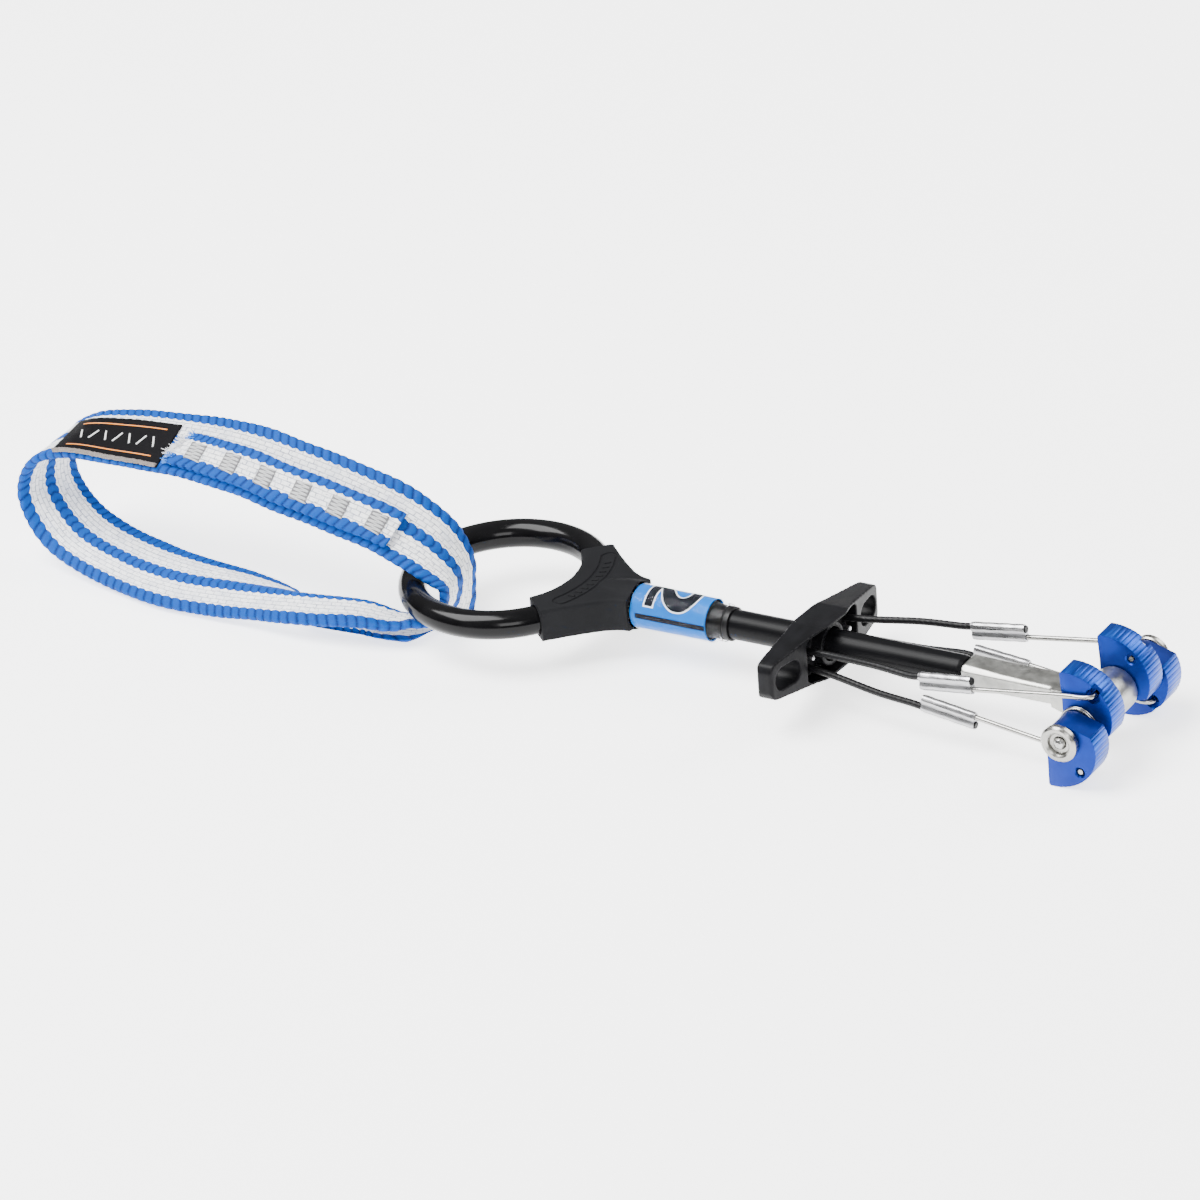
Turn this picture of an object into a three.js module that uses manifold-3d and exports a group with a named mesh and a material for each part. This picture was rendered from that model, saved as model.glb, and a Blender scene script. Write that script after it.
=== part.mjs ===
// Single-stem spring loaded camming device for rock climbing, with a sewn webbing sling.
// Millimetres, +Z up. The device is drawn about the centre of its round thumb loop, with +X along
// the stem to the cam lobes and +Y along the cam axle, and lies on the plane z = floorZ. At the
// end it is moved so that its origin is on the floor under the middle of its bounding box.
import * as THREE from 'three';
import { mergeVertices } from 'three/addons/utils/BufferGeometryUtils.js';
import Module from 'manifold-3d';

const wasm = await Module();
wasm.setup();

// ---------------------------------------------------------------- driving dimensions
const floorZ = -12.65;          // the tips of the outer lobes stand on it
const fitGap = 0.15;            // radial gap of pieces pressed or crimped on one another

const loopRadius = 22.4;        // thumb loop, centre line
const loopTube = 3.45;          // thumb loop sheath, outside
const loopBore = 2.05;
const loopCable = 1.8;
const legAngle = 41;            // degrees from the stem to the ends of the boot's legs

const ferruleR = 4.75;
const ferruleStart = 33.0;
const ferruleEnd = 46.3;
const labelR = 5.12;
const labelStart = 36.8;
const labelEnd = 57.0;
const shrinkR = 5.42;
const shrinkWall = 0.2;
const shrinkEnd = 60.7;
const collarR = 4.15;
const collarEnd = 62.5;
const sheathR = 3.6;
const sheathEnd = 124.7;
const stemCable = 1.9;

const terminalStart = 125.0;
const terminalHalfY = 3.95;
const terminalHalfZ = 2.4;
const eyeR = 5.5;
const eyeHalfY = 5.7;

const axleX = 161;
const axleR = 1.75;
const axleBore = 1.83;
const axleNeck = 1.4;
const washerR = 4.6;
const washerFrom = 21.35;
const washerTo = 23.5;

const innerLobe = [6.0, 12.4];  // from and to, measured from the stem's plane along Y
const outerLobe = [14.3, 21.1];
const hubR = 4.2;
const camRadius = 7.6;          // cam radius at the start of the spiral
const camGrowth = 0.2577;       // growth of the spiral per radian, a constant camming angle
const camFrom = 17;             // degrees above the line ahead of the axle
const camTo = -109.6;
const wirePinX = 3.9;           // wire hole from the axle
const wirePinZ = 7.7;
const wirePlane = 13.35;

const triggerX = 86.2;
const triggerHalf = 25.2;
const triggerRoll = 4;          // degrees that the bar has turned about the stem
const slotY = 18.8;
const slotLong = 9.4;
const slotTall = 5.7;
const pocketFloor = -0.6;       // pocket's bottom, from the trigger's middle along X

const cableR = 0.85;
const wireR = 0.62;
const barrelOffset = 1.05;      // from a ferrule's middle to each of its two barrels
const crimpY = 8.6;             // where the coated cables end in the trigger's pocket

const sides = [['a', -1], ['b', 1]];

const gloss = { black: 0x101011, clear: 0xf2f8fb, blue: 0x1da2f4 };
const metal = { cable: 0x8f9296, swage: 0xb9bcc0, steel: 0xc9c9c6, bright: 0xdadbdc, lobe: 0x0f55c8 };
const matt = { rubber: 0x37383b, collar: 0x141415, stem: 0x161618, trigger: 0x1e1f21, cable: 0x17171a };
const cloth = { tape: 0x1478e0, tag: 0x141417, thread: 0xc9ccd0 };

const rad = (degrees) => degrees * Math.PI / 180;
const device = new THREE.Group();

// ---------------------------------------------------------------- solids
function solid(geometry) {
  const plain = geometry.clone();
  plain.deleteAttribute('normal');
  plain.deleteAttribute('uv');
  const merged = mergeVertices(plain, 1e-4);
  const vertProperties = new Float32Array(merged.attributes.position.array);
  const triVerts = new Uint32Array(merged.index.array);
  if (signedVolume(vertProperties, triVerts) < 0) {
    for (let i = 0; i < triVerts.length; i += 3) {
      const swap = triVerts[i];
      triVerts[i] = triVerts[i + 1];
      triVerts[i + 1] = swap;
    }
  }
  return new wasm.Manifold(new wasm.Mesh({ numProp: 3, vertProperties, triVerts }));
}

function signedVolume(points, triangles) {
  const a = new THREE.Vector3();
  const b = new THREE.Vector3();
  const c = new THREE.Vector3();
  let sum = 0;
  for (let i = 0; i < triangles.length; i += 3) {
    a.fromArray(points, 3 * triangles[i]);
    b.fromArray(points, 3 * triangles[i + 1]);
    c.fromArray(points, 3 * triangles[i + 2]);
    sum += a.dot(b.cross(c));
  }
  return sum / 6;
}

function toGeometry(manifold) {
  const mesh = manifold.getMesh();
  const geometry = new THREE.BufferGeometry();
  geometry.setAttribute('position', new THREE.BufferAttribute(new Float32Array(mesh.vertProperties), 3));
  geometry.setIndex(new THREE.BufferAttribute(new Uint32Array(mesh.triVerts), 1));
  return geometry;
}

function addPiece(name, shape, color, roughness, metalness, parent = device) {
  const geometry = shape.isBufferGeometry ? toGeometry(solid(shape)) : toGeometry(shape);
  geometry.computeVertexNormals();
  const material = new THREE.MeshStandardMaterial({ color, roughness, metalness });
  const mesh = new THREE.Mesh(geometry, material);
  mesh.name = name;
  parent.add(mesh);
  return mesh;
}

// A solid turned about the X axis, from a closed list of [x, radius].
function turnedX(outline, sides = 28) {
  const points = outline.map(([x, r]) => new THREE.Vector2(r, x));
  const open = outline[0][1] === 0 && outline[outline.length - 1][1] === 0;
  if (!open) {
    points.push(points[0].clone());
  }
  return new THREE.LatheGeometry(points, sides).rotateZ(-Math.PI / 2);
}

// The same about the axle: a closed list of [y, radius].
function turnedY(outline, sides = 36) {
  const points = outline.map(([y, r]) => new THREE.Vector2(r, y));
  const open = outline[0][1] === 0 && outline[outline.length - 1][1] === 0;
  if (!open) {
    points.push(points[0].clone());
  }
  return new THREE.LatheGeometry(points, sides).translate(axleX, 0, 0);
}

function rodX(x0, x1, radius, sides = 24) {
  return turnedX([[x0, 0], [x0, radius], [x1, radius], [x1, 0]], sides);
}

function ringX(x0, x1, inside, outside, sides = 28) {
  return turnedX([[x0, inside], [x0, outside], [x1, outside], [x1, inside]], sides);
}

function rodY(y0, y1, radius, x, z, sides = 24) {
  return new THREE.CylinderGeometry(radius, radius, y1 - y0, sides).translate(x, (y0 + y1) / 2, z);
}

function discShape(radius, sides, hole = 0) {
  const ring = (r) => Array.from({ length: sides }, (_, i) => {
    const turn = 2 * Math.PI * i / sides;
    return new THREE.Vector2(r * Math.cos(turn), r * Math.sin(turn));
  });
  const shape = new THREE.Shape(ring(radius));
  if (hole > 0) {
    shape.holes.push(new THREE.Path(ring(hole)));
  }
  return shape;
}

function tubeAlong(curve, radius, steps, sides = 10, hole = 0) {
  return new THREE.ExtrudeGeometry(discShape(radius, sides, hole), { extrudePath: curve, steps });
}

const smoothCurve = (points) => new THREE.CatmullRomCurve3(points.map((p) => new THREE.Vector3(...p)));

// An outline in X and Y made into a plate from z0 to z1.
function plateZ(points, z0, z1) {
  const shape = new THREE.Shape(points.map(([x, y]) => new THREE.Vector2(x, y)));
  return new THREE.ExtrudeGeometry(shape, { depth: z1 - z0, bevelEnabled: false }).translate(0, 0, z0);
}

// An outline in X and Z made into a plate from y0 to y1.
function plateY(points, y0, y1) {
  const shape = new THREE.Shape(points.map(([x, z]) => new THREE.Vector2(x, z)));
  const plate = new THREE.ExtrudeGeometry(shape, { depth: y1 - y0, bevelEnabled: false });
  return plate.rotateX(Math.PI / 2).translate(0, y1, 0);
}

// An outline in Y and Z made into a plate from x0 to x1.
function plateX(points, x0, x1) {
  const shape = new THREE.Shape(points.map(([y, z]) => new THREE.Vector2(y, z)));
  const plate = new THREE.ExtrudeGeometry(shape, { depth: x1 - x0, bevelEnabled: false });
  return plate.rotateX(Math.PI / 2).rotateZ(Math.PI / 2).translate(x0, 0, 0);
}

const mirrored = (half) => [...half, ...half.slice().reverse().map(([along, across]) => [along, -across])];

function arcPoints(cx, cy, radius, from, to, steps) {
  return Array.from({ length: steps + 1 }, (_, i) => {
    const turn = rad(from + (to - from) * i / steps);
    return [cx + radius * Math.cos(turn), cy + radius * Math.sin(turn)];
  });
}

// ---------------------------------------------------------------- thumb loop
class LoopArc extends THREE.Curve {
  constructor(from, to) {
    super();
    this.from = rad(from);
    this.to = rad(to);
  }

  getPoint(t, target = new THREE.Vector3()) {
    const turn = this.from + (this.to - this.from) * t;
    return target.set(loopRadius * Math.cos(turn), loopRadius * Math.sin(turn), 0);
  }
}

const coreExitY = 2.1;
const coreEnd = 39.3;
const coreTurn = 36;            // degrees at which the cable leaves the circle for the ferrule

function loopCorePath() {
  const side = (sign) => [
    [coreEnd, sign * coreExitY, 0],
    [ferruleStart, sign * coreExitY, 0],
    [28.6, sign * 3.1, 0],
    [23.2, sign * 7.4, 0],
  ];
  const round = [];
  for (let angle = coreTurn; angle <= 360 - coreTurn; angle += 12) {
    round.push([loopRadius * Math.cos(rad(angle)), loopRadius * Math.sin(rad(angle)), 0]);
  }
  return smoothCurve([...side(1), ...round, ...side(-1).reverse()]);
}

addPiece('thumb_loop_cable', tubeAlong(loopCorePath(), loopCable, 44, 8), metal.cable, 0.4, 0.9);
const loopSheath = tubeAlong(new LoopArc(38, 322), loopTube, 36, 14, loopBore);
addPiece('thumb_loop_sheath', loopSheath, gloss.black, 0.25, 0);

function junctionFerrule() {
  let body = solid(turnedX([
    [ferruleStart, 0], [ferruleStart, ferruleR - 0.5], [ferruleStart + 0.5, ferruleR],
    [ferruleEnd - 0.5, ferruleR], [ferruleEnd, ferruleR - 0.5], [ferruleEnd, 0],
  ]));
  for (const sign of [1, -1]) {
    const seat = rodX(ferruleStart - 1, coreEnd + 0.3, loopCable + fitGap, 20);
    body = body.subtract(solid(seat.translate(0, sign * coreExitY, 0)));
  }
  return body.subtract(solid(rodX(41, ferruleEnd + 1, stemCable + fitGap, 20)));
}

addPiece('junction_ferrule', junctionFerrule(), metal.swage, 0.35, 0.9);

// ---------------------------------------------------------------- rubber boot
const bootInner = 17.95;
const bootOuter = 26.85;
const bootHalfZ = 4.35;
const bootEnd = 36.5;
const bootNeckR = 6.1;

function rubberBoot() {
  const inner = arcPoints(0, 0, bootInner, 0, legAngle, 10);
  const legTip = arcPoints(0, 0, bootOuter, legAngle, legAngle - 8, 3);
  const outerEdge = [[27.6, 11.9], [31.4, 8.3], [34, 6.6], [bootEnd, bootNeckR]];
  const outline = mirrored([...inner, ...legTip, ...outerEdge]);
  let body = solid(plateZ(outline, -bootHalfZ, bootHalfZ));
  body = body.add(solid(turnedX([
    [24, 0], [24, 3.2], [28.5, 5.0], [33, 5.9], [bootEnd, bootNeckR], [bootEnd, 0],
  ], 40)));
  const hole = solid(tubeAlong(new LoopArc(coreTurn - 2, 60), loopTube + 0.25, 6, 16));
  const corePath = loopCorePath();
  body = body.subtract(hole).subtract(solid(toGeometry(hole).scale(1, -1, 1)));
  body = body.subtract(solid(tubeAlong(corePath, loopCable + 0.25, 44, 10)));
  body = body.subtract(solid(rodX(ferruleStart - 0.4, 38, ferruleR + 0.15, 36)));
  return body.subtract(solid(rodX(34.6, 38, shrinkR + 0.2, 36)));
}

addPiece('rubber_boot', rubberBoot(), matt.rubber, 0.85, 0);

// ---------------------------------------------------------------- label, collar and stem
addPiece('size_label', ringX(labelStart, labelEnd, ferruleR + 0.12, labelR), gloss.blue, 0.45, 0);

addPiece('clear_shrink_tube', turnedX([
  [34.9, shrinkR - shrinkWall], [34.9, shrinkR], [57.5, shrinkR], [59.1, collarR + 0.45],
  [shrinkEnd, collarR + 0.4], [shrinkEnd, collarR + 0.15], [58.8, collarR + 0.2],
  [57.2, shrinkR - shrinkWall],
]), gloss.clear, 0.12, 0);

addPiece('stem_collar', turnedX([
  [ferruleEnd + 0.3, sheathR + 0.12], [ferruleEnd + 0.3, ferruleR], [labelEnd + 0.1, ferruleR],
  [labelEnd + 0.6, collarR], [collarEnd, collarR], [collarEnd, sheathR + 0.12],
]), matt.collar, 0.5, 0);

const stemSheath = ringX(ferruleEnd + 0.3, sheathEnd, stemCable + 0.5, sheathR, 32);
addPiece('stem_sheath', stemSheath, matt.stem, 0.35, 0);
addPiece('stem_cable', rodX(41.3, 138.4, stemCable, 20), metal.cable, 0.4, 0.9);

// ---------------------------------------------------------------- stem terminal with the axle eye
function terminal() {
  const side = mirrored([
    [terminalStart, terminalHalfZ - 0.3], [terminalStart + 1, terminalHalfZ], [149.5, terminalHalfZ],
    [153, 3.0], ...arcPoints(axleX, 0, eyeR, 136, 0, 20),
  ]);
  const top = mirrored([
    [terminalStart, terminalHalfY - 0.3], [terminalStart + 1, terminalHalfY], [141, terminalHalfY + 0.1],
    [148, 4.7], [152.5, eyeHalfY], [axleX + eyeR + 1, eyeHalfY],
  ]);
  const edge = 0.9;
  const shankEnd = 145;
  let body = solid(plateY(side, -8, 8)).intersect(solid(plateZ(top, -9, 9)));
  const shank = [
    [-terminalHalfY - 0.1, -terminalHalfZ + edge], [-terminalHalfY + edge, -terminalHalfZ],
    [terminalHalfY - edge, -terminalHalfZ], [terminalHalfY + 0.1, -terminalHalfZ + edge],
    [terminalHalfY + 0.1, terminalHalfZ - edge], [terminalHalfY - edge, terminalHalfZ],
    [-terminalHalfY + edge, terminalHalfZ], [-terminalHalfY - 0.1, terminalHalfZ - edge],
  ];
  const aroundEye = mirrored([[-8, 10], [8, 10]]);
  const keep = solid(plateX(shank, terminalStart - 1, shankEnd))
    .add(solid(plateX(aroundEye, shankEnd - 0.1, 170)));
  body = body.intersect(keep);
  body = body.subtract(solid(rodX(terminalStart - 1, 138.8, stemCable + 0.1, 20)));
  return body.subtract(solid(rodY(-9, 9, axleBore, axleX, 0, 32)));
}

addPiece('stem_terminal', terminal(), metal.steel, 0.35, 0.95);

// ---------------------------------------------------------------- axle, washers and springs
addPiece('axle', turnedY([
  [-washerTo + 0.6, 0], [-washerTo + 0.2, 0.9], [-washerTo + 0.6, axleNeck], [-washerFrom + 0.1, axleNeck],
  [-washerFrom + 0.1, axleR], [washerFrom - 0.1, axleR], [washerFrom - 0.1, axleNeck],
  [washerTo - 0.6, axleNeck], [washerTo - 0.2, 0.9], [washerTo - 0.6, 0],
], 28), metal.steel, 0.3, 0.95);

// A cupped washer: the axle's end is peened over at the bottom of the cup.
function endWasher(sign) {
  const bore = axleNeck + fitGap;
  const outline = [
    [washerFrom, bore], [washerFrom, washerR - 0.4], [washerFrom + 0.4, washerR], [washerTo - 0.5, washerR],
    [washerTo, washerR - 0.6], [washerTo, 3.2], [washerTo - 0.4, 2.8], [washerTo - 1.3, 2.5],
    [washerTo - 1.3, bore],
  ];
  return turnedY(outline.map(([y, r]) => [sign * y, r]), 28);
}

class Coil extends THREE.Curve {
  constructor(radius, from, pitch, turns, spur) {
    super();
    Object.assign(this, { radius, from, pitch, turns, spur });
  }

  getPoint(t, target = new THREE.Vector3()) {
    const turn = 2 * Math.PI * this.turns * t;
    const end = Math.max(0, 0.06 - Math.min(t, 1 - t)) / 0.06;
    const r = this.radius + this.spur * end * end;
    const along = this.from + this.pitch * this.turns * t;
    return target.set(axleX + r * Math.cos(turn), along, r * Math.sin(turn));
  }
}

const springR = 4.35;
const springWire = 0.28;
const springTurns = 1.9;
const springPitch = 0.62;

for (const [side, sign] of sides) {
  addPiece(`end_washer_${side}`, endWasher(sign), metal.steel, 0.3, 0.95);
  const start = wirePlane - springPitch * springTurns / 2;
  const coil = new Coil(springR, sign * start, sign * springPitch, springTurns, 0.7);
  addPiece(`torsion_spring_${side}`, tubeAlong(coil, springWire, 40, 6), metal.steel, 0.3, 0.95);
}

// ---------------------------------------------------------------- cam lobes
const spiral = (degrees) => camRadius * Math.exp(camGrowth * rad(camFrom - degrees));

// The lobe's outline with its tip down: hub, back edge, rounded tip, spiral cam face.
const tipX = -4.5;
const tipRound = 0.7;

function lobeOutline() {
  const cam = [];
  const steps = 24;
  for (let i = 0; i <= steps; i += 1) {
    const degrees = camTo + (camFrom - camTo) * i / steps;
    const r = spiral(degrees);
    const point = [r * Math.cos(rad(degrees)), Math.max(r * Math.sin(rad(degrees)), floorZ)];
    if (point[0] > tipX + tipRound + 0.2) {
      cam.push(point);
    }
  }
  return [
    ...arcPoints(0, 0, hubR, 66, 178, 12), [-4.3, -6],
    ...arcPoints(tipX + tipRound, floorZ + tipRound, tipRound, 180, 270, 4), ...cam,
  ];
}

const pinTurn = Math.atan2(-wirePinZ, wirePinX);
const pinReach = Math.hypot(wirePinX, wirePinZ);

// from and to are distances from the stem's plane; the wire lies at the face wireFace.
function lobe([from, to], wireFace) {
  let body = solid(plateY(lobeOutline(), from, to));
  body = body.subtract(solid(rodY(from - 1, to + 1, axleBore, 0, 0, 32)));
  body = body.subtract(solid(rodY(from - 1, to + 1, 1.15, wirePinX, -wirePinZ, 20)));
  const depth = 1.6;
  const [low, high] = wireFace === from ? [from - 1, from + depth] : [to - depth, to + 1];
  body = body.subtract(solid(rodY(low, high, 1.9, wirePinX, -wirePinZ, 24)));
  const slot = new THREE.BoxGeometry(8, high - low, 2.4).translate(4, 0, 0).rotateY(-pinTurn);
  slot.translate(pinReach * Math.cos(pinTurn), (low + high) / 2, pinReach * Math.sin(pinTurn));
  return body.subtract(solid(slot));
}

for (const [side, sign] of sides) {
  const outer = toGeometry(lobe(outerLobe, outerLobe[0]));
  outer.scale(1, sign, 1);
  const outerPiece = addPiece(`cam_lobe_outer_${side}`, outer, metal.lobe, 0.35, 0.7);
  outerPiece.position.x = axleX;
  const inner = toGeometry(lobe(innerLobe, innerLobe[1]));
  inner.scale(1, sign, -1);
  const innerPiece = addPiece(`cam_lobe_inner_${side}`, inner, metal.lobe, 0.35, 0.7);
  innerPiece.position.x = axleX;
}

// ---------------------------------------------------------------- trigger wires
// Each lobe is pulled by a stainless wire, a double-barrel ferrule and a coated cable.
const ferruleBack = [119.5, 12.6, 2.95];
const ferruleFront = [133.5, 13.05, 4.75];

function barrelLine(offset, before, after) {
  const a = new THREE.Vector3(...ferruleBack);
  const b = new THREE.Vector3(...ferruleFront);
  const along = b.clone().sub(a).normalize();
  const lift = new THREE.Vector3(0, 1, 0).cross(along).multiplyScalar(-offset);
  return [
    a.clone().add(lift).addScaledVector(along, -before),
    b.clone().add(lift).addScaledVector(along, after),
  ];
}

function barrelBore(offset, radius, before, after) {
  const [a, b] = barrelLine(offset, before, after);
  return tubeAlong(new THREE.LineCurve3(a, b), radius, 1, 16);
}

function wireFerrule() {
  const width = 1.25;
  const [a, b] = barrelLine(0, 0, 0);
  const outline = [
    ...arcPoints(0, barrelOffset, width, 0, 180, 10),
    ...arcPoints(0, -barrelOffset, width, 180, 360, 10),
  ];
  const length = a.distanceTo(b);
  const body = new THREE.ExtrudeGeometry(
    new THREE.Shape(outline.map(([x, y]) => new THREE.Vector2(x, y))),
    { depth: length, bevelEnabled: false },
  );
  const along = b.clone().sub(a).normalize();
  const up = along.clone().cross(new THREE.Vector3(0, 1, 0)).normalize();
  const across = up.clone().cross(along);
  const place = new THREE.Matrix4().makeBasis(across, up, along).setPosition(a);
  return solid(body.applyMatrix4(place))
    .subtract(solid(barrelBore(barrelOffset, cableR + 0.12, 1, 1)))
    .subtract(solid(barrelBore(-barrelOffset, wireR + 0.12, 1, 1)));
}

function coatedCable() {
  const [enter, leave] = barrelLine(barrelOffset, 0, 0.35);
  const ahead = leave.clone().sub(enter).normalize();
  const before = enter.clone().addScaledVector(ahead, -2.5);
  return tubeAlong(smoothCurve([
    [triggerX + 0.5, crimpY, 2.2], [94, 9.25, 2.65], [107, 11.2, 3.6],
    before.toArray(), enter.toArray(), enter.clone().lerp(leave, 0.5).toArray(), leave.toArray(),
  ]), cableR, 16, 8);
}

// The hooked end runs along Y inside its lobe, from hookFrom at the face to hookTo.
function lobeWire(hookFrom, hookTo) {
  const [enter, leave] = barrelLine(-barrelOffset, -0.6, 0);
  const pin = [axleX + wirePinX, wirePinZ];
  return tubeAlong(smoothCurve([
    enter.toArray(), enter.clone().lerp(leave, 0.5).toArray(), leave.toArray(),
    [148, 13.25, 5.75], [158.5, wirePlane, 7.2], [pin[0] - 1.7, wirePlane, 7.6],
    [pin[0] - 0.35, hookFrom + 0.55 * Math.sign(wirePlane - hookFrom), pin[1]],
    [pin[0], hookFrom, pin[1]], [pin[0], (hookFrom + hookTo) / 2, pin[1]], [pin[0], hookTo, pin[1]],
  ]), wireR, 32, 6);
}

const wireSets = [
  ['outer', -1, outerLobe[0] + 0.2, outerLobe[1] - 0.4],
  ['inner', 1, innerLobe[1] - 0.2, innerLobe[0] + 0.4],
];

for (const [side, sign] of sides) {
  for (const [kind, zSign, hookFrom, hookTo] of wireSets) {
    const place = (geometry) => toGeometry(solid(geometry)).scale(1, sign, zSign);
    const ferrule = toGeometry(wireFerrule()).scale(1, sign, zSign);
    addPiece(`trigger_cable_${kind}_${side}`, place(coatedCable()), matt.cable, 0.6, 0);
    addPiece(`wire_ferrule_${kind}_${side}`, ferrule, metal.bright, 0.25, 0.95);
    addPiece(`lobe_wire_${kind}_${side}`, place(lobeWire(hookFrom, hookTo)), metal.steel, 0.3, 0.95);
  }
}

// ---------------------------------------------------------------- trigger
function triggerBar() {
  const topView = mirrored([
    [-5.0, 3.5], [-4.4, 9], [-3.5, triggerHalf - 0.6], [-3.0, triggerHalf],
    [0.2, triggerHalf], [0.6, triggerHalf - 0.6], [2.9, 9], [4.2, 4.5],
  ]);
  const frontView = mirrored([
    [-triggerHalf, 2.6], [-triggerHalf + 0.9, 4.3], [-triggerHalf + 2.4, 4.75], [-6, 6.7],
    [6, 6.7], [triggerHalf - 2.4, 4.75], [triggerHalf - 0.9, 4.3], [triggerHalf, 2.6],
  ]);
  let body = solid(plateZ(topView, -8, 8)).intersect(solid(plateX(frontView, -8, 8)));
  for (const sign of [1, -1]) {
    const slotRound = slotTall / 2;
    const slotHalf = slotLong / 2 - slotRound;
    const slot = [
      ...arcPoints(sign * slotY + slotHalf, 0, slotRound, -90, 90, 10),
      ...arcPoints(sign * slotY - slotHalf, 0, slotRound, 90, 270, 10),
    ];
    body = body.subtract(solid(plateX(slot, -8, 8)));
  }
  const pocket = mirrored([[-11.6, 4.8], [-10.8, 5.45], [-6, 6], [6, 6], [10.8, 5.45], [11.6, 4.8]]);
  let hollow = solid(plateX(pocket, pocketFloor, 8));
  hollow = hollow.subtract(solid(rodX(pocketFloor - 1, 2.6, 5.3, 32)));
  body = body.subtract(hollow);
  return body.subtract(solid(rodX(-8, 8, sheathR + 0.5, 32)));
}

const trigger = new THREE.Group();
trigger.position.x = triggerX;
trigger.rotation.x = rad(-triggerRoll);
device.add(trigger);
addPiece('trigger_bar', triggerBar(), matt.trigger, 0.55, 0, trigger);
for (const [side, sign] of sides) {
  const crimp = turnedX([
    [pocketFloor + 0.3, 0], [pocketFloor + 0.3, 0.55], [pocketFloor + 0.6, 0.7],
    [2.2, 0.7], [2.5, 0.55], [2.5, 0],
  ], 16);
  addPiece(`trigger_crimp_${side}`, crimp.translate(0, sign * crimpY, 0), metal.bright, 0.3, 0.95, trigger);
}

// ---------------------------------------------------------------- webbing sling
// Stations go round the loop: down through the thumb loop, back along the floor, round the far
// end and home over the thumb loop. Each has the band's middle and the way across it.
const slingWidth = 18.3;
const stations = [
  [[-11.2, -4.5, 0], [-0.12, 0.99, 0]],
  [[-13.2, -7.5, -7.0], [-0.1, 0.99, 0]],
  [[-19.5, -10.8, -10.7], [0, 1, 0]],
  [[-29, -12.2, -11.4], [0, 1, 0]],
  [[-42, -12.4, -11.4], [0, 1, 0]],
  [[-55.5, -13, -11.3], [-0.05, 1, 0.02]],
  [[-68, -14.6, -10.2], [-0.08, 0.98, 0.16]],
  [[-83, -15.2, -9.3], [0, 0.97, 0.25]],
  [[-101, -11.6, -8.6], [0.22, 0.94, 0.25]],
  [[-117.5, -7.3, -5.2], [0.38, 0.9, 0.2]],
  [[-126.6, -3.6, 3.7], [0.3, 0.95, 0]],
  [[-124.2, -2.8, 13.4], [0.12, 0.99, 0.04]],
  [[-116, -2.8, 18.2], [0, 0.99, 0.12]],
  [[-102.5, -3.0, 20.4], [-0.08, 0.95, 0.28]],
  [[-84.5, -3.6, 21.8], [-0.1, 0.92, 0.39]],
  [[-68, -4.8, 21.8], [0, 0.8, 0.58]],
  [[-52, -5.9, 20.0], [0.08, 0.72, 0.69]],
  [[-36, -6.0, 16.6], [0.1, 0.72, 0.68]],
  [[-24.5, -5.4, 12.4], [0.1, 0.8, 0.58]],
  [[-16.4, -4.6, 7.2], [0.05, 0.92, 0.36]],
];
const middleCurve = new THREE.CatmullRomCurve3(stations.map(([p]) => new THREE.Vector3(...p)), true);
const acrossCurve = new THREE.CatmullRomCurve3(stations.map(([, w]) => new THREE.Vector3(...w)), true);

// The band's frame at t, where t counts the stations round the loop from 0 to 1.
function bandFrame(t) {
  const wrapped = t - Math.floor(t);
  const middle = middleCurve.getPoint(wrapped);
  const tangent = middleCurve.getTangent(wrapped);
  const across = acrossCurve.getPoint(wrapped);
  across.addScaledVector(tangent, -across.dot(tangent)).normalize();
  const outward = tangent.clone().cross(across).normalize();
  return { middle, across, outward };
}

// A layer of the sling from t0 to t1, across it from u0 to u1, from height h0 to h1 outward.
function bandLayer({ t0, t1, u0, u1, h0, h1, steps, closed = false }) {
  const chamfer = Math.min(0.8, (u1 - u0) / 4);
  const mid = (h0 + h1) / 2;
  const section = [
    [u0, mid], [u0 + chamfer, h0], [u1 - chamfer, h0], [u1, mid], [u1 - chamfer, h1], [u0 + chamfer, h1],
  ];
  const rows = closed ? steps : steps + 1;
  const positions = [];
  for (let i = 0; i < rows; i += 1) {
    const { middle, across, outward } = bandFrame(t0 + (t1 - t0) * i / steps);
    for (const [u, h] of section) {
      positions.push(...middle.clone().addScaledVector(across, u).addScaledVector(outward, h).toArray());
    }
  }
  const n = section.length;
  const index = [];
  for (let i = 0; i < steps; i += 1) {
    const next = (i + 1) % rows;
    for (let j = 0; j < n; j += 1) {
      const k = (j + 1) % n;
      index.push(i * n + j, i * n + k, next * n + k, i * n + j, next * n + k, next * n + j);
    }
  }
  if (!closed) {
    const last = (rows - 1) * n;
    for (let j = 1; j < n - 1; j += 1) {
      index.push(0, j + 1, j, last, last + j, last + j + 1);
    }
  }
  const geometry = new THREE.BufferGeometry();
  geometry.setAttribute('position', new THREE.Float32BufferAttribute(positions, 3));
  geometry.setIndex(index);
  return geometry;
}

const webHalf = 0.95;
const half = slingWidth / 2;
const layGap = 0.3;
const station = (number) => number / stations.length;
const lapWidth = 10.2;
const lapThick = 1.5;

addPiece('sling_webbing', bandLayer({
  t0: 0, t1: 1, u0: -half, u1: half, h0: -webHalf, h1: webHalf, steps: 76, closed: true,
}), cloth.tape, 0.8, 0);

const lapFrom = station(13.95);
const lapTo = station(17.95);
const lapTop = webHalf + layGap + lapThick;
addPiece('sling_lap', bandLayer({
  t0: lapFrom, t1: lapTo, u0: -half, u1: -half + lapWidth, h0: webHalf + layGap, h1: lapTop, steps: 26,
}), cloth.tape, 0.8, 0);

addPiece('sling_tag', bandLayer({
  t0: station(11.75), t1: station(13.7), u0: -half + 0.4, u1: half - 4.2,
  h0: webHalf + layGap, h1: webHalf + layGap + 0.6, steps: 12,
}), cloth.tag, 0.85, 0);

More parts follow.
